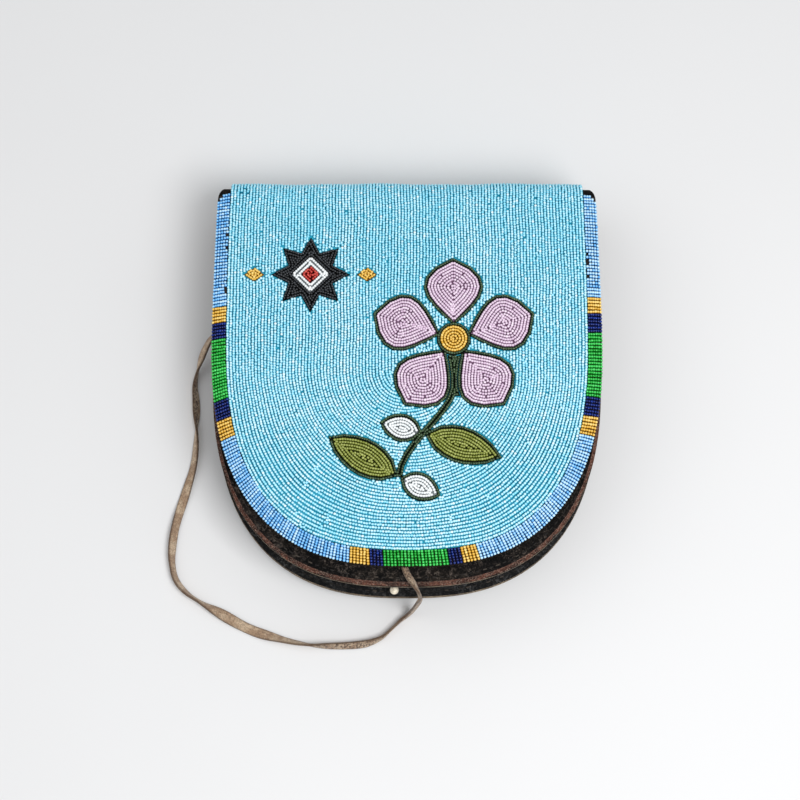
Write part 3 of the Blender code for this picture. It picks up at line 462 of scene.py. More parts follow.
def turned(name, profile, steps, place, turn, *materials):
    # A lathe-turned piece: a disc extruded and scaled from step to step of its profile.
    bpy.ops.mesh.primitive_circle_add(vertices=steps, radius=profile[0][0] * mm, fill_type="NGON",
                                      location=(0, 0, profile[0][1] * mm))
    piece = bpy.context.object
    bpy.ops.object.transform_apply(location=True, rotation=True, scale=True)
    edit(piece)
    for (before, low), (after, high) in zip(profile, profile[1:]):
        bpy.ops.mesh.extrude_region_move(TRANSFORM_OT_translate={"value": (0, 0, (high - low) * mm)})
        bpy.ops.transform.resize(value=(after / before, after / before, 1),
                                 center_override=(0, 0, high * mm))
    faceOut()
    piece.rotation_euler = turn
    piece.location = Vector(place) * mm
    bpy.ops.object.transform_apply(location=True, rotation=True, scale=True)
    smooth(named(piece, name, *materials), 50)
    return piece


# Lace

lace = {"width": 4.6 * mm, "thickness": 1.4 * mm, "rings": 260, "sectionPoints": 16, "smooth": 12,
        "square": 0.45,                                     # its section: 1 is an ellipse, 0 a rectangle
        "cup": 0.12, "waver": 0.08,                         # how hollow it is, how its width wavers
        "drawn": (0.18, 0.1, 0.25),                         # narrower by, where it is handled
        "spread": (0.16, 0.38, 0.43, 0.47, 0.52),           # wider by, and where it lies flat
        "tremble": ((0.06, 37, 0), (0.05, 91, 1)),          # its turning's: size, rate, phase
        "lies": (0.002, 0.004), "clear": 0.0001, "least": 0.00005,   # levels above the floor, in metres
        # how it is turned about its own line: share of its length, degrees from flat
        "turns": ((0, 46), (0.03, 34), (0.06, 84), (0.12, 92), (0.178, 86), (0.21, 90), (0.232, 80),
                  (0.256, 56), (0.278, 50), (0.294, 58), (0.324, 84), (0.346, 98), (0.365, 116),
                  (0.389, 138), (0.4, 153), (0.43, 180), (0.468, 178), (0.497, 143), (0.524, 100),
                  (0.575, 118), (0.62, 130), (0.66, 142), (0.7, 176), (0.74, 208), (0.78, 234),
                  (0.812, 264), (0.84, 308), (0.87, 306), (0.892, 278), (0.91, 258), (0.93, 222),
                  (0.96, 220), (1, 232)),
        "route": (
            (-0.0015, -0.0866, 0.04115),
            (-0.0015, -0.0885, 0.0412), (-0.0008, -0.0920, 0.0412), (0.0008, -0.0954, 0.0414),
            (0.0031, -0.0985, 0.0416), (0.0050, -0.1014, 0.0392), (0.0058, -0.1030, 0.0310),
            (0.0052, -0.1040, 0.0195), (0.0031, -0.1054, 0.0082), (0.0000, -0.1076, 0.0020),
            (-0.0030, -0.1098, 0.0010), (-0.0076, -0.1141, 0.0010), (-0.0124, -0.1182, 0.0010),
            (-0.0195, -0.1208, 0.0010), (-0.0296, -0.1218, 0.0010), (-0.0391, -0.1220, 0.0010),
            (-0.0477, -0.1213, 0.0010), (-0.0616, -0.1184, 0.0010), (-0.0756, -0.1137, 0.0010),
            (-0.0902, -0.1060, 0.0010), (-0.1000, -0.1005, 0.0010), (-0.1065, -0.0960, 0.0010),
            (-0.1113, -0.0900, 0.0010), (-0.1133, -0.0820, 0.0010), (-0.1135, -0.0745, 0.0010),
            (-0.1126, -0.0655, 0.0010), (-0.1100, -0.0546, 0.0010), (-0.1074, -0.0456, 0.0010),
            (-0.1045, -0.0346, 0.0010), (-0.1035, -0.0240, 0.0010), (-0.1035, -0.0129, 0.0010),
            (-0.1041, -0.0016, 0.0010), (-0.1048, 0.0066, 0.0014), (-0.1038, 0.0135, 0.0032),
            (-0.1018, 0.0188, 0.0070), (-0.0992, 0.0230, 0.0118), (-0.0963, 0.0264, 0.0160),
            (-0.0925, 0.0286, 0.0188), (-0.0884, 0.0290, 0.0195))}


def unit(vectors):
    return vectors / np.maximum(np.linalg.norm(vectors, axis=1), 1e-9)[:, None]


def leftOf(headings):
    return np.stack([-headings[:, 1], headings[:, 0]], 1)


def travelled(points):
    # How far along a line each of its points lies.
    return np.concatenate([[0], np.cumsum(np.linalg.norm(np.diff(points, axis=0), axis=1))])


def evenly(points, count):
    # The same line as count points at even steps.
    points = np.asarray(points, float)
    at = travelled(points)
    wanted = np.linspace(0, at[-1], count)
    return np.stack([np.interp(wanted, at, points[:, axis]) for axis in range(points.shape[1])], 1)


def throughPoints(points, steps):
    # A smooth line through the points.
    points = np.asarray(points, float)
    padded = np.vstack([2 * points[0] - points[1], points, 2 * points[-1] - points[-2]])
    line = []
    for index in range(1, len(padded) - 2):
        a, b, c, d = padded[index - 1:index + 3]
        for t in np.arange(steps) / steps:
            line.append(0.5 * (2 * b + (c - a) * t + (2 * a - 5 * b + 4 * c - d) * t**2
                               + (3 * b - a - 3 * c + d) * t**3))
    return np.array(line + [points[-1]])


def eased(values, low, high):
    t = np.clip((values - low) / (high - low), 0, 1)
    return t * t * (3 - 2 * t)


def makeLace():
    line = evenly(throughPoints(lace["route"], lace["smooth"]), lace["rings"])
    share = np.linspace(0, 1, len(line))
    window = np.hanning(11)[1:-1]
    turn = np.radians(np.interp(share, *zip(*lace["turns"])))
    turn = np.convolve(np.pad(turn, 4, "edge"), window / window.sum(), "valid")
    for size, rate, phase in lace["tremble"]:
        turn += size * np.sin(share * rate + phase)
    narrower, start, end = lace["drawn"]
    wider, *stretch = lace["spread"]
    width = lace["width"] * (0.96 + lace["waver"] * np.sin(share * 61 + 0.5) * np.sin(share * 23))
    width *= 1 - narrower * (1 - eased(share, start, end))
    width *= 1 + wider * eased(share, *stretch[:2]) * (1 - eased(share, *stretch[2:]))
    lying = 1 - eased(line[:, 2], *lace["lies"])              # 1 where it lies on the surface
    lift = (np.abs(np.sin(turn)) * width + np.abs(np.cos(turn)) * lace["thickness"]) / 2 + lace["clear"]
    line[:, 2] += lying * (lift - line[:, 2])
    line[2:-2, 2] = np.convolve(line[:, 2], np.ones(5) / 5, "valid")
    along = unit(np.gradient(line, axis=0))
    flat = np.stack([along[:, 1], -along[:, 0], np.zeros(len(line))], 1)
    for _ in range(6):                                        # a gentle change of heading
        flat[1:-1] = (flat[:-2] + flat[1:-1] * 2 + flat[2:]) / 4
    flat = unit(flat - along * np.sum(flat * along, 1)[:, None])
    up = np.cross(flat, along)
    angles = 2 * math.pi * np.arange(lace["sectionPoints"]) / lace["sectionPoints"]
    across = np.sign(np.cos(angles)) * np.abs(np.cos(angles)) ** lace["square"]
    through = np.sign(np.sin(angles)) * np.abs(np.sin(angles)) ** lace["square"]
    rows = []
    for index, centre in enumerate(line):
        c, s = math.cos(turn[index]), math.sin(turn[index])
        side, top = flat[index] * c + up[index] * s, up[index] * c - flat[index] * s
        cup = lace["cup"] * lace["thickness"] * np.sin(share[index] * 75)
        row = np.array([centre + side * a * width[index] / 2
                        + top * (b * lace["thickness"] / 2 + cup * (a * a - 0.5))
                        for a, b in zip(across, through)])
        row[:, 2] += max(lace["least"] - row[:, 2].min(), 0)    # never into the floor
        rows.append(row)
    piece = named(fromRows("suede_lace", rows, closedAcross=True), "suede_lace", laceSuede)
    edit(piece)
    bpy.ops.mesh.select_all(action="DESELECT")
    bpy.ops.mesh.select_non_manifold()
    bpy.ops.mesh.edge_face_add()
    faceOut()
    smooth(piece, 60)
    # 1 on the lace's cut edges, where its material paints shade
    mark(piece.data, "edge", np.tile(np.abs(across) ** 6, len(line)))
    mark(piece.data, "grain", np.tile(through > 0, len(line)))
    finished(piece, "pocket", "lace", slot="suede")


# Outlines of the pouch

outline = {"power": 2.6, "sideSteps": 8, "arcSteps": 44}
wall = {"half": 87.5, "mouth": 91.7, "wide": 8.0, "bottom": -94.1}
flap = {"half": 92.5, "topHalf": 91.5, "bend": 89.0, "wide": 23.0, "bottom": -91.0, "fold": 100.0,
        "bendLevel": 36.2, "length": 191.0,
        "rimTop": 5.8, "rimGrows": 1.4,                     # the rim's width at the fold, and its gain
        "fieldGap": 0.3}
levels = {"backLow": 7.6, "gussetLow": 10.3, "gussetTop": 36.3, "frontLow": 38.1, "frontTop": 40.3,
          "flapLow": 42.3, "flapTop": 44.5, "hideTop": 45.4, "beadLow": 45.7, "beadTop": 47.2}


def dSide(half, topHalf, top, wide, bottom):
    # The right-hand side of a D in mm: a slightly bowed side, then a squarish quarter round.
    up = np.linspace(1, 0, outline["sideSteps"] + 1)[:-1]
    side = np.stack([half - (half - topHalf) * up**2, wide + (top - wide) * up], 1)
    angle = np.linspace(0, math.pi / 2, outline["arcSteps"] + 1)
    arc = np.stack([half * np.clip(np.cos(angle), 0, 1) ** (2 / outline["power"]),
                    wide - (wide - bottom) * np.sin(angle) ** (2 / outline["power"])], 1)
    arc[-1] = (0, bottom)
    return np.vstack([side, arc])


def outwardOf(side):
    return leftOf(unit(np.gradient(side, axis=0)))


def grown(side, margin):
    moved = side + outwardOf(side) * np.reshape(margin, (-1, 1))
    moved[0, 1], moved[-1, 0] = side[0, 1], 0
    return moved


def whole(side):
    return np.vstack([side, (side[:-1] * (-1, 1))[::-1]])


def rimWidth(y):
    # How wide the beaded rim is, more so toward the foot.
    return flap["rimTop"] + flap["rimGrows"] * np.clip((flap["fold"] - y) / flap["length"], 0, 1)


wallSide = dSide(wall["half"], wall["half"], wall["mouth"], wall["wide"], wall["bottom"])
flapSide = dSide(flap["half"], flap["topHalf"], flap["bend"], flap["wide"], flap["bottom"])
fieldSide = grown(flapSide, -rimWidth(flapSide[:, 1]) - flap["fieldGap"])


# Leather of the pocket and the flap

panel = {"backMargin": 5.9, "frontMargin": 3.5, "backThickness": 2.4, "frontThickness": 2.2,
         "top": 97.3, "corner": 5.0, "cornerCut": 1.5,     # the back's upper corners, cut in two steps
         "gussetThickness": 1.6, "fold": 2.2,              # the fold is the radius of its turned edges
         "lip": 1.5,                                       # how far the gusset's front edge stands out
         # the front seam's two raw plies: how far out, their level, and where their waves start
         "plies": (("raw_welt_upper", 0.5, 37.5, 0), ("raw_welt_lower", 1.25, 36.9, 2.1)),
         "plyThickness": 0.56, "plyInside": 1.6, "plyWave": 0.16}


def dPlate(name, points, low, thickness, rounding, *materials):
    # A flat panel: a filled ring shaped to the outline, extruded, with its edges rounded.
    bpy.ops.mesh.primitive_circle_add(vertices=len(points), radius=0.1, fill_type="NGON")
    plate = bpy.context.object
    for vert, (x, y) in zip(plate.data.vertices, points):
        vert.co = (x * mm, y * mm, low * mm)
    edit(plate)
    bpy.ops.mesh.extrude_region_move(TRANSFORM_OT_translate={"value": (0, 0, thickness * mm)})
    faceOut()
    named(plate, name, *materials)
    for face in plate.data.polygons:                       # a cut edge in the second material
        face.material_index = 1 if abs(face.normal.z) < 0.5 and len(materials) > 1 else 0
    return rounded(plate, rounding, 3)


def makePanels():
    low = grown(wallSide, panel["backMargin"])
    edge, top, corner, cut = low[0, 0], panel["top"], panel["corner"], panel["cornerCut"]
    corners = [(edge - corner, top), (edge - cut, top - cut), (edge, top - corner)]
    back = whole(np.vstack([corners, low[1:]]))
    finished(dPlate("back_leather", back, levels["backLow"], panel["backThickness"], 0.5,
                    leather["black"], cutEdge), "pocket", "back_panel", slot="black_leather")
    front = whole(grown(wallSide, panel["frontMargin"]))
    finished(dPlate("front_leather", front, levels["frontLow"], panel["frontThickness"], 0.6,
                    leather["black"], rawEdge), "pocket", "front_panel", slot="black_leather")


def closedSheet(name, rows, thickness, offset, rounding, *materials):
    # Rows of points as a skin, given its thickness, its rim in the second material.
    piece = named(fromRows(name, rows), name, *materials)
    modify(piece, "SOLIDIFY", thickness=thickness * mm, offset=offset, use_even_offset=True,
           material_offset_rim=len(materials) - 1)
    edit(piece)
    faceOut()
    return rounded(piece, rounding)


def makeGusset():
    # One strip bent round the D, its turned edges rounded where they fold out.
    path = whole(wallSide)
    out = outwardOf(path)
    out[0], out[-1] = (1, 0), (-1, 0)
    half, turn = panel["gussetThickness"] / 2, panel["fold"]
    low, high = levels["gussetLow"] + half, levels["gussetTop"] - half
    quarter = np.linspace(0, math.pi / 2, 5)
    section = [(panel["backMargin"] - 0.1, low)]
    section += [(turn - (turn + half) * math.sin(a), low + turn * (1 - math.cos(a))) for a in quarter]
    section += [(-half, low + (high - low) * share) for share in (0.3, 0.5, 0.7)]
    section += [(turn - (turn + half) * math.cos(a), high - turn * (1 - math.sin(a))) for a in quarter]
    section += [(panel["frontMargin"] + panel["lip"], high)]
    rows = [[((x + ox * away) * mm, (y + oy * away) * mm, level * mm) for away, level in section]
            for (x, y), (ox, oy) in zip(path, out)]
    finished(closedSheet("gusset_leather", rows, panel["gussetThickness"], 0, 0.3, leather["gusset"],
                         cutEdge), "pocket", "gusset", slot="black_leather")


def makeWelt():
    # Two raw plies in the front seam that stand out of it, their edges uneven.
    inner = grown(wallSide, -panel["plyInside"])
    at = np.arange(len(inner))
    for name, out, level, phase in panel["plies"]:
        wavy = panel["plyWave"] * (np.sin(at * 1.7 + phase) + np.sin(at * 0.61 + phase * 2))
        outer = grown(grown(wallSide, panel["frontMargin"]), out + wavy)
        rows = [[(ix * mm, iy * mm, level * mm), (ox * mm, oy * mm, level * mm)]
                for (ix, iy), (ox, oy) in zip(whole(inner), whole(outer))]
        finished(closedSheet(name, rows, panel["plyThickness"], 0, 0.15, rawEdge, rawEdge), "pocket",
                 "front_welt", slot="raw_leather")


# how far the fold lies back, in mm: everywhere, at its ends, and in waves of a size, length and phase
fold = {"back": 0.4, "ends": 0.1, "half": 85, "waves": ((0.25, 11, 0), (0.15, 4.7, 1)),
        "overY": (70, 95), "overZ": (12, 36)}
# the flap's layers: how far down the wall each ends, and its tuck, which is where above the bend it
# grows narrower, over how much, and by how much
layers = {"cover": {"thickness": 2.2, "end": 10.3, "tuck": (0, 6.1, 3.0)},
          "hide": {"thickness": 0.6, "end": 12.2, "tuck": (1.3, 0.9, 6.0)},
          "ground": {"thickness": 0.15, "end": 13.9, "tuck": (0, 1, 0)}}


def overFold(level, end):
    # A layer's line over the fold, from the bend down the wall to its end.
    radius = level - flap["bendLevel"]
    line = [(flap["bend"] + radius * math.sin(a), flap["bendLevel"] + radius * math.cos(a))
            for a in np.linspace(0, math.pi / 2, 11)[1:]]
    return line + [(flap["bend"] + radius, flap["bendLevel"] + (end - flap["bendLevel"]) * share)
                   for share in (0.33, 0.66, 1)]


def bow(x, y, z):
    # How far a place lies back with the fold, in mm.
    amount = fold["back"] + fold["ends"] * (np.abs(x) / fold["half"]) ** 4
    for size, length, phase in fold["waves"]:
        amount = amount + size * np.sin(x / length + phase)
    y, z = np.asarray(y, float), np.asarray(z, float)
    return amount * eased(y, *fold["overY"]) * eased(z, *fold["overZ"])


def flapLayer(name, side, level, layer, *materials):
    # One layer of the flap, flat from its edge, over the fold and down.
    start, over, narrower = layer["tuck"]
    line = [(x, y, level) for x, y in side[:-1][::-1]]
    for y, z in overFold(level, layer["end"]):
        line.append((side[0, 0] - narrower * np.clip((y - flap["bend"] - start) / over, 0, 1) ** 2, y, z))
    rows = [[(x * share * mm, (y - bow(x * share, y, z)) * mm, z * mm)
             for share in np.linspace(-1, 1, 61)] for x, y, z in line]
    return closedSheet(name, rows, layer["thickness"], 1, min(0.5, layer["thickness"] * 0.3), *materials)


def makeFlap():
    # The leather with its shoulders rounded, the hide that carries the beads, and a teal ground of
    # painted light through the glass.
    finished(flapLayer("flap_cover", flapSide, levels["flapLow"], layers["cover"],
                       leather["flap"], darkEdge), "flap", "flap_leather", slot="black_leather")
    finished(flapLayer("hide_backing", grown(flapSide, -0.6), levels["flapTop"] + 0.3, layers["hide"],
                       buckskin), "flap", "flap_hide", slot="buckskin")
    finished(flapLayer("field_ground", grown(fieldSide, -0.2), levels["hideTop"] + 0.05, layers["ground"],
                       glassLightGround), "flap", slot="buckskin")


hinge = {"half": 86.0, "low": 7.9, "high": 13.0, "y": 97.35, "thickness": 0.4, "from": 9.2, "to": 11.4,
         "corner": 1.2}


def makeHinge():
    # The leather that joins the back to the flap's wall.
    rows = []
    for z in np.linspace(hinge["low"], hinge["high"], 18):
        end = min(z - hinge["low"], hinge["high"] - z)
        half = hinge["half"] - hinge["corner"] * (1 - min(end / hinge["corner"], 1)) ** 2
        rows.append([(half * share * mm, hinge["y"] * mm, z * mm) for share in np.linspace(-1, 1, 25)])
    piece = closedSheet("hinge_leather", rows, hinge["thickness"], 1, 0.12, leather["flap"])
    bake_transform(piece)


# Stitches, loops and metal

stitch = {"length": 2.7, "thickness": 0.75, "pitch": 3.4, "sink": 0.12, "slope": 0.03,
          "frontIn": 1.3, "backIn": 3.3, "flapIn": 3.2}     # each row's distance from the wall or edge
loop = {"x": 46, "edge": 11.2, "low": -19, "high": 35, "edgeLevel": 0.27,
        "tab": 11, "tabHalf": 5, "tabMiddles": (-33.2, 49.2), "tabLevel": 4.9}
stud = {"x": -6.0, "wall": -94.1, "z": 23.3, "ball": 2.05, "reach": 4.3, "neck": 1.0, "foot": 2.7,
        "inside": -5.2, "seat": 0.3,
        "footSteps": ((1, 0.6), (0.9, 0.95), (0.55, 1.12)), "footTop": 1.25}   # foot's share, height
rivet = {"head": 4.0, "headHeight": 1.2, "shank": 1.7, "burr": 3.2, "low": 3.4, "high": 11.5, "y": 8.0,
         "half": 41.5,
         # shares of the head's radius and height, and of the burr's radius with the depth below the top
         "headSteps": ((0.06, 0), (0.34, 0.03), (0.6, 0.13), (0.8, 0.32), (0.93, 0.58), (1.0, 0.88),
                       (0.985, 1.0)),
         "burrSteps": ((0.98, 1.2), (1, 1.0), (0.95, 0.62), (0.62, 0.5))}


def modelStitch():
    # One stitch: a short round thread whose two ends dive into the leather.
    bpy.ops.mesh.primitive_cylinder_add(vertices=6, radius=0.5, depth=1, end_fill_type="NGON")
    piece = bpy.context.object
    edit(piece)
    bpy.ops.mesh.select_mode(type="FACE")
    bpy.ops.mesh.select_all(action="DESELECT")
    shape = bmesh.from_edit_mesh(piece.data)
    for face in shape.faces:
        face.select_set(abs(face.normal.z) > 0.5)
    bmesh.update_edit_mesh(piece.data)
    bpy.ops.mesh.bevel(offset=0.2, segments=1, affect="EDGES")
    bpy.ops.mesh.select_all(action="SELECT")
    bpy.ops.transform.rotate(value=math.pi / 2, orient_axis="Y", center_override=(0, 0, 0))
    done()
    edit(piece, lambda co: abs(co.x) > 0.45)
    bpy.ops.transform.translate(value=(0, 0, -0.5))
    done()
    return modelOf(piece)


def stitchRow(name, model, lines, level, facing, body):
    # Stitches along lines in mm, on a flat side that faces up, 1, or down, -1.
    places, frames = [], []
    up = np.array([0, 0, facing])
    for line in lines:
        for point, way in zip(*alongLine(np.asarray(line, float), stitch["pitch"])):
            along = np.array([*way, dice.normal(0, stitch["slope"])])
            places.append((*point, level - facing * stitch["sink"]))
            frames.append(np.stack([along, np.cross(up, along), up]))
    count = len(places)
    sizes = np.tile((stitch["length"], stitch["thickness"], stitch["thickness"]), (count, 1))
    sizes[:, 0] *= dice.uniform(0.88, 1.05, count)
    tints = dice.uniform(0, 1, count)
    piece = copies(name, model, np.array(places) * mm, np.array(frames), sizes, tints)
    finished(named(piece, name, waxedThread), body, slot="black_leather")


def makeStitches():
    model = modelStitch()
    front, back = whole(grown(wallSide, stitch["frontIn"])), whole(grown(wallSide, stitch["backIn"]))
    inside = whole(grown(flapSide, -stitch["flapIn"]))
    gussetFace = levels["gussetLow"] + panel["gussetThickness"]
    for name, line, level, facing, body in (
            ("front_seam_stitches", front, levels["frontTop"], 1, "pocket"),
            ("back_seam_stitches", back, levels["backLow"], -1, "pocket"),
            ("gusset_stitches", back, gussetFace, 1, "pocket"),
            ("flap_edge_stitches", inside, levels["flapLow"], -1, "flap")):
        stitchRow(name, model, [line], level, facing, body)
    tab, half = loop["tab"], loop["tabHalf"]
    for side, x in (("left", -loop["x"]), ("right", loop["x"])):
        edges = [[(x + offset, y) for y in np.linspace(loop["low"], loop["high"], 12)]
                 for offset in (-loop["edge"], loop["edge"])]
        stitchRow(f"loop_edge_stitches_{side}", model, edges, loop["edgeLevel"], -1, "pocket")
        tabs = [[(x + offset, y - half), (x + offset, y + half)]
                for y in loop["tabMiddles"] for offset in (-tab, tab)]
        stitchRow(f"loop_tab_stitches_{side}", model, tabs, loop["tabLevel"], -1, "pocket")


def makeMetal():
    ball, reach, neck, foot = stud["ball"], stud["reach"], stud["neck"], stud["foot"]
    profile = [(neck, stud["inside"]), (neck, stud["seat"]), (foot, stud["seat"])]
    profile += [(foot * share, height) for share, height in stud["footSteps"]]
    profile.append((neck, stud["footTop"]))
    profile += [(ball * math.sin(angle), reach + ball * math.cos(angle))
                for angle in np.linspace(math.pi - math.asin(neck / ball), 0.06, 14)]
    place = (stud["x"], stud["wall"], stud["z"])
    piece = turned("stud_ball", profile, 28, place, (math.pi / 2, 0, 0), brass)
    finished(piece, "pocket", "closing_stud", slot="brass")
    low, high, shank = rivet["low"], rivet["high"], rivet["shank"]
    profile = [(rivet["head"] * share, low + rivet["headHeight"] * up)
               for share, up in rivet["headSteps"]]
    profile += [(shank, low + 1.25), (shank, high - 1.2)]
    profile += [(rivet["burr"] * share, high - down) for share, down in rivet["burrSteps"]]
    profile += [(shank, high - 0.45), (shank * 0.92, high - 0.08), (shank * 0.6, high)]
    for side, x in (("left", -loop["x"]), ("right", loop["x"])):
        for end, y in (("top", rivet["half"]), ("bottom", -rivet["half"])):
            place = (x, rivet["y"] + y, 0)
            piece = turned(f"rivet_{side}_{end}", profile, 32, place, (0, 0, 0), copper)
            finished(piece, "pocket", f"loop_rivet_{side}_{end}", slot="copper")


def makeLoops():
    for side in ("left", "right"):
        piece = dressed(f"belt_loop_{side}", f"belt_strap_{side}", 0.5, leather["loop"])
        finished(piece, "pocket", f"belt_loop_{side}", slot="black_leather")
    for node in ("lace_root", "lace_tail"):
        piece = dressed(node, node.replace("_", "_suede_"), 0.25, laceSuede)
        finished(piece, "pocket", node, slot="suede")


# Beadwork

bead = {"sides": 8, "width": 1.46, "length": 1.28, "lanePitch": 1.5, "beadPitch": 1.27, "closest": 1.0,
        "pieceLimit": 2500, "lean": 0.06, "narrower": 0.04, "shorter": 0.88,
        "tint": (0.45, 0.14), "odd": (0.02, 0.985),         # below the one pale, above the other dark
        "profile": ((0.32, -0.5), (0.455, -0.34), (0.5, 0), (0.455, 0.34), (0.32, 0.5))}


def modelBead():
    # One seed bead, 1 long and 1 wide: a short barrel whose ends are rounded in.
    profile = [(across / mm, along / mm) for across, along in bead["profile"]]
    return modelOf(turned("seed_bead", profile, bead["sides"], (0, 0, 0), (0, math.pi / 2, 0)))


def onFlap(points, headings, drop, tilt):
    # Flat places in mm on the beads' middle level, laid over the fold: place and frame in metres.
    x, u = points[:, 0], points[:, 1]
    middle = (levels["beadLow"] + levels["beadTop"]) / 2
    radius = middle - flap["bendLevel"]
    past = np.clip(u - flap["bend"], 0, None)
    angle = np.clip(past / radius, 0, math.pi / 2)
    normal = np.stack([np.zeros_like(x), np.sin(angle), np.cos(angle)], 1)
    onward = np.stack([np.zeros_like(x), np.cos(angle), -np.sin(angle)], 1)
    place = np.stack([x, np.minimum(u, flap["bend"]), np.full_like(x, flap["bendLevel"])], 1)
    place += normal * (radius - np.reshape(drop, (-1, 1)))
    place[:, 2] -= np.clip(past - radius * math.pi / 2, 0, None)
    place[:, 1] -= bow(place[:, 0], place[:, 1], place[:, 2])
    along = unit(headings[:, :1] * np.array([1.0, 0, 0]) + headings[:, 1:] * onward)
    side = np.cross(normal, along)
    c, s = np.cos(np.reshape(tilt, (-1, 1))), np.sin(np.reshape(tilt, (-1, 1)))
    return place * mm, np.stack([along * c - normal * s, side, normal * c + along * s], 1)


def topLoops(node):
    # The outline loops of a CAD node's flat top, in mm, outer ones counterclockwise.
    mesh = nodes[node].data
    points = np.round(np.array([vert.co for vert in mesh.vertices]) / mm, 3)
    top = points[:, 2].max()
    edges = {}                                             # a dictionary keeps their order
    for face in mesh.polygons:
        corners = [tuple(points[index]) for index in face.vertices]
        if min(corner[2] for corner in corners) < top - 0.01:
            continue
        for here, there in zip(corners, corners[1:] + corners[:1]):
            edges[(here[:2], there[:2])] = True
    following = {}
    for here, there in edges:
        if (there, here) not in edges:
            following.setdefault(here, []).append(there)
    loops = []
    while following:
        start = next(iter(following))
        loop, here = [], start
        while here in following:
            there = following[here].pop()
            if not following[here]:
                del following[here]
            loop.append(here)
            here = there
        loops.append(np.array(loop))
    return loops


def edgeDistance(points, loops):
    nearest = np.full(len(points), 1e9)
    for loop in loops:
        for a, b in zip(loop, np.roll(loop, -1, 0)):
            span = b - a
            share = np.clip(((points - a) @ span) / max(span @ span, 1e-12), 0, 1)
            nearest = np.minimum(nearest, np.linalg.norm(points - a - share[:, None] * span, axis=1))
    return nearest


def isInside(points, loops):
    odd = np.zeros(len(points), bool)
    for loop in loops:
        for (ax, ay), (bx, by) in zip(loop, np.roll(loop, -1, 0)):
            if ay == by:
                continue
            crossing = (points[:, 1] > min(ay, by)) & (points[:, 1] <= max(ay, by))
            odd ^= crossing & (points[:, 0] < ax + (points[:, 1] - ay) * (bx - ax) / (by - ay))
    return odd


def alongLine(line, pitch, closed=False):
    # Places and headings along a line, the beads a little uneven in length.
    points = np.vstack([line, line[:1]]) if closed else line
    at = travelled(points)
    count = max(int(round(at[-1] / pitch)), 1)
    steps = dice.uniform(0.9, 1.1, count)
    wanted = (np.cumsum(steps) - steps / 2) * at[-1] / steps.sum()
    before, place, after = (
        np.stack([np.interp(wanted + step, at, points[:, axis]) for axis in (0, 1)], 1)
        for step in (-0.4, 0, 0.4))
    return place, unit(after - before)


def contourRows(loops):
    # Rows that follow an area's outline, each one further in, as a beader fills it.
    rows = []
    for level in range(inlay["rows"]):
        depth = inlay["first"] + level * inlay["pitch"]
        for loop in loops:
            closed = np.vstack([loop, loop[:1]])
            fine = evenly(closed, max(int(travelled(closed)[-1] / 0.25), 12))[:-1]
            moved = fine + leftOf(unit(np.roll(fine, -2, 0) - np.roll(fine, 2, 0))) * depth
            good = isInside(moved, loops) & (edgeDistance(moved, loops) > depth - 0.06)
            if not good.any():
                continue
            turn = int(np.argmin(good)) if not good.all() else 0
            moved, good = np.roll(moved, -turn, 0), np.roll(good, -turn)
            start = None
            for index in range(len(good) + 1):
                keep = index < len(good) and good[index]
                if keep and start is None:
                    start = index
                elif not keep and start is not None:
                    if index - start > 2:
                        rows.append((moved[start:index], good.all()))
                    start = None
    return rows


taken, cell = {}, 1.5                                      # the beads' places, by cells of so many mm


def claim(x, y, gap):
    # True, and the place is taken, if no bead lies nearer than gap.
    cellX, cellY = int(x // cell), int(y // cell)
    for i in range(cellX - 1, cellX + 2):
        for j in range(cellY - 1, cellY + 2):
            for px, py in taken.get((i, j), ()):
                if (px - x) ** 2 + (py - y) ** 2 < gap * gap:
                    return False
    taken.setdefault((cellX, cellY), []).append((x, y))
    return True


def makeBeads(name, model, points, headings, colour, node, drop=0, tilt=0, shade=0,
              length=bead["length"], width=bead["width"]):
    # One piece of beadwork from its beads' places.
    count = len(points)
    places, frames = onFlap(points, headings, drop, tilt)
    lean = dice.normal(0, bead["lean"], count)[:, None]
    along, side = frames[:, 0].copy(), frames[:, 1].copy()
    frames[:, 0] = along * np.cos(lean) + side * np.sin(lean)
    frames[:, 1] = side * np.cos(lean) - along * np.sin(lean)
    wide = width * (1 - np.abs(dice.normal(0, bead["narrower"], count)))
    size = np.stack([length * dice.uniform(bead["shorter"], 1.0, count), wide, wide], 1)
    tints = np.clip(dice.normal(*bead["tint"], count) + shade, 0, 1)
    odd = dice.uniform(0, 1, count)
    low, high = bead["odd"]
    tints = np.where(odd > high, 0.0, np.where(odd < low, 1.0, tints))
    piece = named(copies(name, model, places, frames, size, tints), name, glass[colour])
    finished(piece, "flap", node, slot=f"beads_{colour}")


field = {"sway": 0.28, "jitter": 0.07, "end": 14.2, "laneShade": 0.07, "patch": 0.06, "topDarker": 0.13,
         "first": 0.78, "last": 0.72, "least": 0.5,         # insets of the outermost and the inmost lane
         "centre": 0.45,                                    # how far in, as a share, the lanes are round
         "clear": 0.8, "inside": 0.6, "edge": 0.5, "gap": 1.12}


def swayed(points):
    x, u = points[:, 0], points[:, 1]
    dx = field["sway"] * (np.sin(u / 9.1 + x / 31) * 0.6 + np.sin(u / 4.3 - x / 17 + 1) * 0.4)
    dy = field["sway"] * (np.sin(x / 8.3 + u / 27 + 2) * 0.6 + np.sin(x / 4.7 - u / 21) * 0.4)
    calm = np.clip((85 - np.abs(x)) / 12, 0.15, 1)
    return points + np.stack([dx * calm, dy * calm], 1)


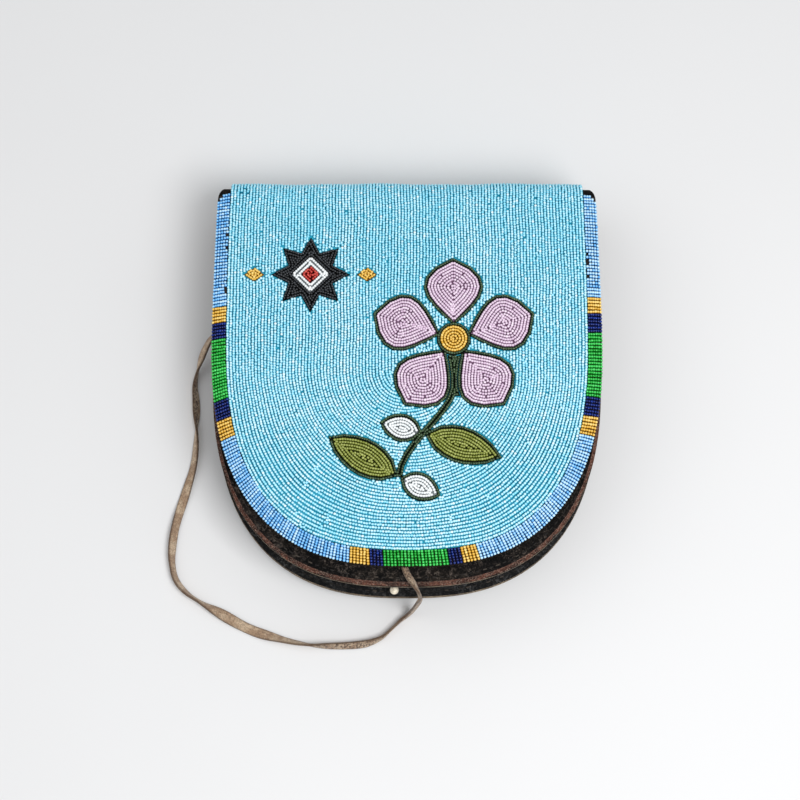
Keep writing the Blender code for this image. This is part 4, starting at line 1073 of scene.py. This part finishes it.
def fieldLanes():
    # U-shaped rows from the wall over the fold, down one side, round the bottom and up again.
    half, wide, bottom = fieldSide[:, 0].max(), flap["wide"], fieldSide[-1, 1]
    height = wide - bottom
    inmost = bottom + half
    span = half - field["first"] - field["last"]
    pitch = span / round(span / bead["lanePitch"])
    radius = (levels["beadLow"] + levels["beadTop"]) / 2 - flap["bendLevel"]
    top = flap["bend"] + radius * math.pi / 2 + flap["bendLevel"] - field["end"]
    angle = np.linspace(0, math.pi / 2, 60)
    lanes = []
    inset = field["first"]
    while inset < half - field["least"]:
        # The outer rows follow the rim; further in they grow round, about one centre.
        across, down = (half - inset) / half, (height - inset) / height
        roundness = float(eased(np.array(inset), 0, half * field["centre"]))
        side = fieldSide.copy()
        lower = side[:, 1] < wide
        side[:, 0] *= across
        side[lower, 1] = wide - (wide - side[lower, 1]) * down
        arc = np.stack([np.cos(angle), -np.sin(angle)], 1) * (half - inset) + (0, inmost)
        arc = np.vstack([[(half - inset, flap["bend"])], arc])
        mixed = evenly(side, 90) * (1 - roundness) + evenly(arc, 90) * roundness
        mixed[-1, 0] = 0
        lanes.append(whole(np.vstack([[(mixed[0, 0], top)], mixed])))
        inset += pitch
    return lanes


motifs = (("blossom_centre", "yellow"), ("petal_1", "lilac"), ("petal_2", "lilac"), ("petal_3", "lilac"),
          ("petal_4", "lilac"), ("petal_5", "lilac"), ("leaf_left", "olive"), ("leaf_right", "olive"),
          ("bud_left", "white"), ("bud_right", "white"), ("star_red", "red"), ("star_white", "white"),
          ("star_black", "black"), ("dart_left", "yellow"), ("dart_right", "yellow"),
          ("blossom_outline", "dark_green"), ("stem_outline", "dark_green"))
bordered = ("blossom_outline", "stem_outline", "star_black", "dart_left", "dart_right")
# an inlaid area's rows: the outermost one's inset, their pitch and number, the beads' share of the usual
# pitch and of the usual gap, their least distance to the edge, and that and the gap of the last beads
inlay = {"first": 0.6, "pitch": 1.42, "rows": 9, "beadShare": 0.96, "gapShare": 0.98, "edge": 0.3,
         "lastEdge": 0.45, "lastGap": 1.06}
ground = {"above": 0.16, "step": 0.06, "thickness": 0.1, "darker": 0.6}


def fillGaps(loops, points, headings, margin, gap):
    # A beader's last beads: one in each bare spot that still holds one.
    low = np.min([loop.min(0) for loop in loops], axis=0)
    high = np.max([loop.max(0) for loop in loops], axis=0)
    grid = np.meshgrid(np.arange(low[0], high[0], 0.3), np.arange(low[1], high[1], 0.3))
    grid = np.stack(grid, -1).reshape(-1, 2)
    grid = grid[isInside(grid, loops)]
    grid = grid[edgeDistance(grid, loops) > margin]
    for point in grid:
        if claim(point[0], point[1], gap):
            near = np.argmin(np.sum((np.array(points) - point) ** 2, axis=1)) if points else None
            points.append(point)
            headings.append(np.array((1.0, 0.0)) if near is None else headings[near])


def makeMotifs(model):
    for node, colour in motifs:
        loops = topLoops(node)
        points, headings = [], []
        for line, closed in contourRows(loops):
            place, heading = alongLine(line, bead["beadPitch"] * inlay["beadShare"], closed)
            inside = isInside(place, loops) & (edgeDistance(place, loops) > inlay["edge"])
            for point, way in zip(place[inside], heading[inside]):
                if claim(point[0], point[1], bead["closest"] * inlay["gapShare"]):
                    points.append(point)
                    headings.append(way)
        fillGaps(loops, points, headings, inlay["lastEdge"], inlay["lastGap"])
        makeBeads(f"beads_{node}", model, np.array(points), np.array(headings), colour, node)
    print("motif beads made")


def makeGrounds():
    # A thin ground under each motif, in the painted shade of its beads' sides made darker, for what shows
    # between its beads.
    shades = {}
    for node, colour in motifs:
        if colour not in shades:
            tone = fromPhoto(glassTones[colour][0])[0]
            # painted shade: the beads' side colour, darker still
            dark = tuple(c * ground["darker"] for c in tone)
            shades[colour] = hidePaint(f"{colour}_ground", tone, dark)
        step = 2 if node == "star_red" else 0 if node in bordered else 1
        low = levels["hideTop"] + ground["above"] + ground["step"] * step
        plates = [dPlate(f"ground_{node}", loop, low, ground["thickness"], 0.03, shades[colour])
                  for loop in topLoops(node) if signedArea(loop) > 0]
        only(plates[0])
        for plate in plates[1:]:
            plate.select_set(True)
        if len(plates) > 1:
            bpy.ops.object.join()
        finished(named(plates[0], f"ground_{node}", shades[colour]), "flap", slot="buckskin")


def makeField(model):
    holes = [loop for node in bordered for loop in topLoops(node) if signedArea(loop) > 0]
    points, headings, shades = [], [], []
    for lane in fieldLanes():
        place, heading = alongLine(lane, bead["beadPitch"])
        place = swayed(place) + dice.normal(0, field["jitter"], place.shape)
        clear = (~isInside(place, holes)) & (edgeDistance(place, holes) > field["clear"])
        shade = dice.normal(0, field["laneShade"])
        for point, way in zip(place[clear], heading[clear]):
            if claim(point[0], point[1], bead["closest"]):
                points.append(point)
                headings.append(way)
                shades.append(shade)
    inner = [whole(grown(fieldSide, -field["inside"]))] + holes
    fillGaps(inner, points, headings, field["edge"], field["gap"])
    points, headings = np.array(points), np.array(headings)
    x, y = points[:, 0], points[:, 1]
    shades = np.array(shades + [0] * (len(points) - len(shades)))
    shades += field["patch"] * np.sin(x / 13 + y / 29) * np.sin(y / 17 - x / 37 + 2)
    shades -= field["topDarker"] * eased(y, 10, 90)
    parts = int(math.ceil(len(points) / bead["pieceLimit"]))
    for number, chosen in enumerate(np.array_split(np.argsort(-y), parts), 1):
        makeBeads(f"beads_field_{number}", model, points[chosen], headings[chosen], "sky", "bead_field",
                  shade=shades[chosen])
    print("field beads made:", len(points))


def signedArea(loop):
    x, y = loop[:, 0], loop[:, 1]
    return 0.5 * np.sum(x * np.roll(y, -1) - np.roll(x, -1) * y)


rim = {"pitch": 1.6, "over": 2.2, "drop": 0.5, "turn": 0.55,
       "beadPitch": 1.13, "width": 1.55, "length": 1.22, "paler": 0.24, "corner": (2, 1),
       "inside": 0.25, "uneven": 0.12, "shade": 0.15, "slant": 0.025, "jitter": 0.035,
       # how far the strands lean: share of the way round, from the right shoulder, and lean
       "leans": ((0, 0.07), (0.07, 0.10), (0.16, -0.02), (0.21, 0), (0.25, -0.08), (0.29, 0.02),
                 (0.34, 0.11), (0.37, 0.05), (0.42, -0.07), (0.5, -0.07), (0.56, -0.14),
                 (0.61, -0.14), (0.64, -0.18), (0.68, -0.2), (0.74, -0.17), (0.79, -0.25),
                 (0.82, -0.16), (0.93, -0.14), (1, -0.2)),
       # bare spots beside the field, where the innermost beads are gone: side, from y to y
       "bare": ((-1, 79.5, 83), (-1, 61, 70), (-1, 40, 43), (1, 55, 61), (1, 46, 49), (1, -3, 0))}
rimNodes = sorted(name for name in nodes if name.startswith("rim_"))
# the strands of each block down the right side, round the bottom and up the left side; the shift in mm
rimCounts = {"right": (33, 5, 6, 20, 6, 6), "bottom": (5, 4, 19, 4, 6), "left": (6, 6, 19, 5, 5, 36),
             "shift": 3.0}


def makeRim(model):
    # Strands side by side round the flap's edge, each a short row of beads across the rim.
    edge = whole(flapSide)
    at, out = travelled(edge), outwardOf(edge)
    length = at[-1] + 2 * rim["over"]
    total = int(round(length / rim["pitch"]))
    pitch = length / total
    right, bottom, left = (sum(rimCounts[key]) for key in ("right", "bottom", "left"))
    before = round((total - bottom) / 2) - round(rimCounts["shift"] / rim["pitch"]) - right
    after = total - right - before - bottom - left
    counts = (*rimCounts["right"], before, *rimCounts["bottom"], after, *rimCounts["left"])
    strand = 0
    for node, count in zip(rimNodes, counts):
        points, headings, drops, tilts, shades = [], [], [], [], []
        for number in range(strand, strand + count):
            wanted = pitch * (number + 0.5) - rim["over"]
            x, y = (np.interp(wanted, at, edge[:, axis]) for axis in (0, 1))
            if wanted < 0 or wanted > at[-1]:                # past the flat flap, up over the fold
                y = edge[0, 1] + (-wanted if wanted < 0 else wanted - at[-1])
            way = np.array([np.interp(wanted, at, out[:, axis]) for axis in (0, 1)])
            way /= np.linalg.norm(way)
            side = np.array([-way[1], way[0]])
            width = rimWidth(y)
            beads = int(round(width / rim["beadPitch"]))
            shade = dice.normal(0, rim["shade"]) + rim["paler"] * (x > 0) * node.endswith("periwinkle")
            slant = np.interp(number / total, *zip(*rim["leans"])) + dice.normal(0, rim["slant"])
            uneven = dice.normal(0, rim["uneven"])
            bare = any(x * hand > 0 and low < y < high for hand, low, high in rim["bare"])
            cut = dict(enumerate(rim["corner"])).get(min(number, total - 1 - number), 0)
            for place in range(int(bare and dice.uniform() < 0.5), beads - cut):
                share = (place + 0.5) / beads
                inward = (width + rim["inside"] + uneven) * (1 - share)
                points.append(np.array([x, y]) - way * inward + side * slant * (inward - width / 2)
                              + dice.normal(0, rim["jitter"], 2))
                headings.append(way - side * slant)
                over = max((share - 0.5) / 0.5, 0)
                drops.append(rim["drop"] * over ** 1.6)
                tilts.append(rim["turn"] * over)
                shades.append(shade)
        strand += count
        makeBeads(f"beads_{node}", model, np.array(points), np.array(headings), node.split("_", 2)[2],
                  node, np.array(drops), np.array(tilts), np.array(shades), rim["length"], rim["width"])
    print("rim beads made")


# The run of the script

for make in (makeCamera, makeLights, makeLace, makePanels, makeGusset, makeWelt, makeFlap, makeHinge,
             makeLoops, makeMetal, makeStitches):
    make()
print("leather, stitches and metal made")
beadModel = modelBead()
makeGrounds()
makeMotifs(beadModel)
makeField(beadModel)
makeRim(beadModel)

nodes["stud_washer"].data.materials.clear()
nodes["stud_washer"].data.materials.append(brass)

bpy.ops.mesh.primitive_plane_add(size=floor["size"])
named(bpy.context.object, "studio_floor", floorPaint())
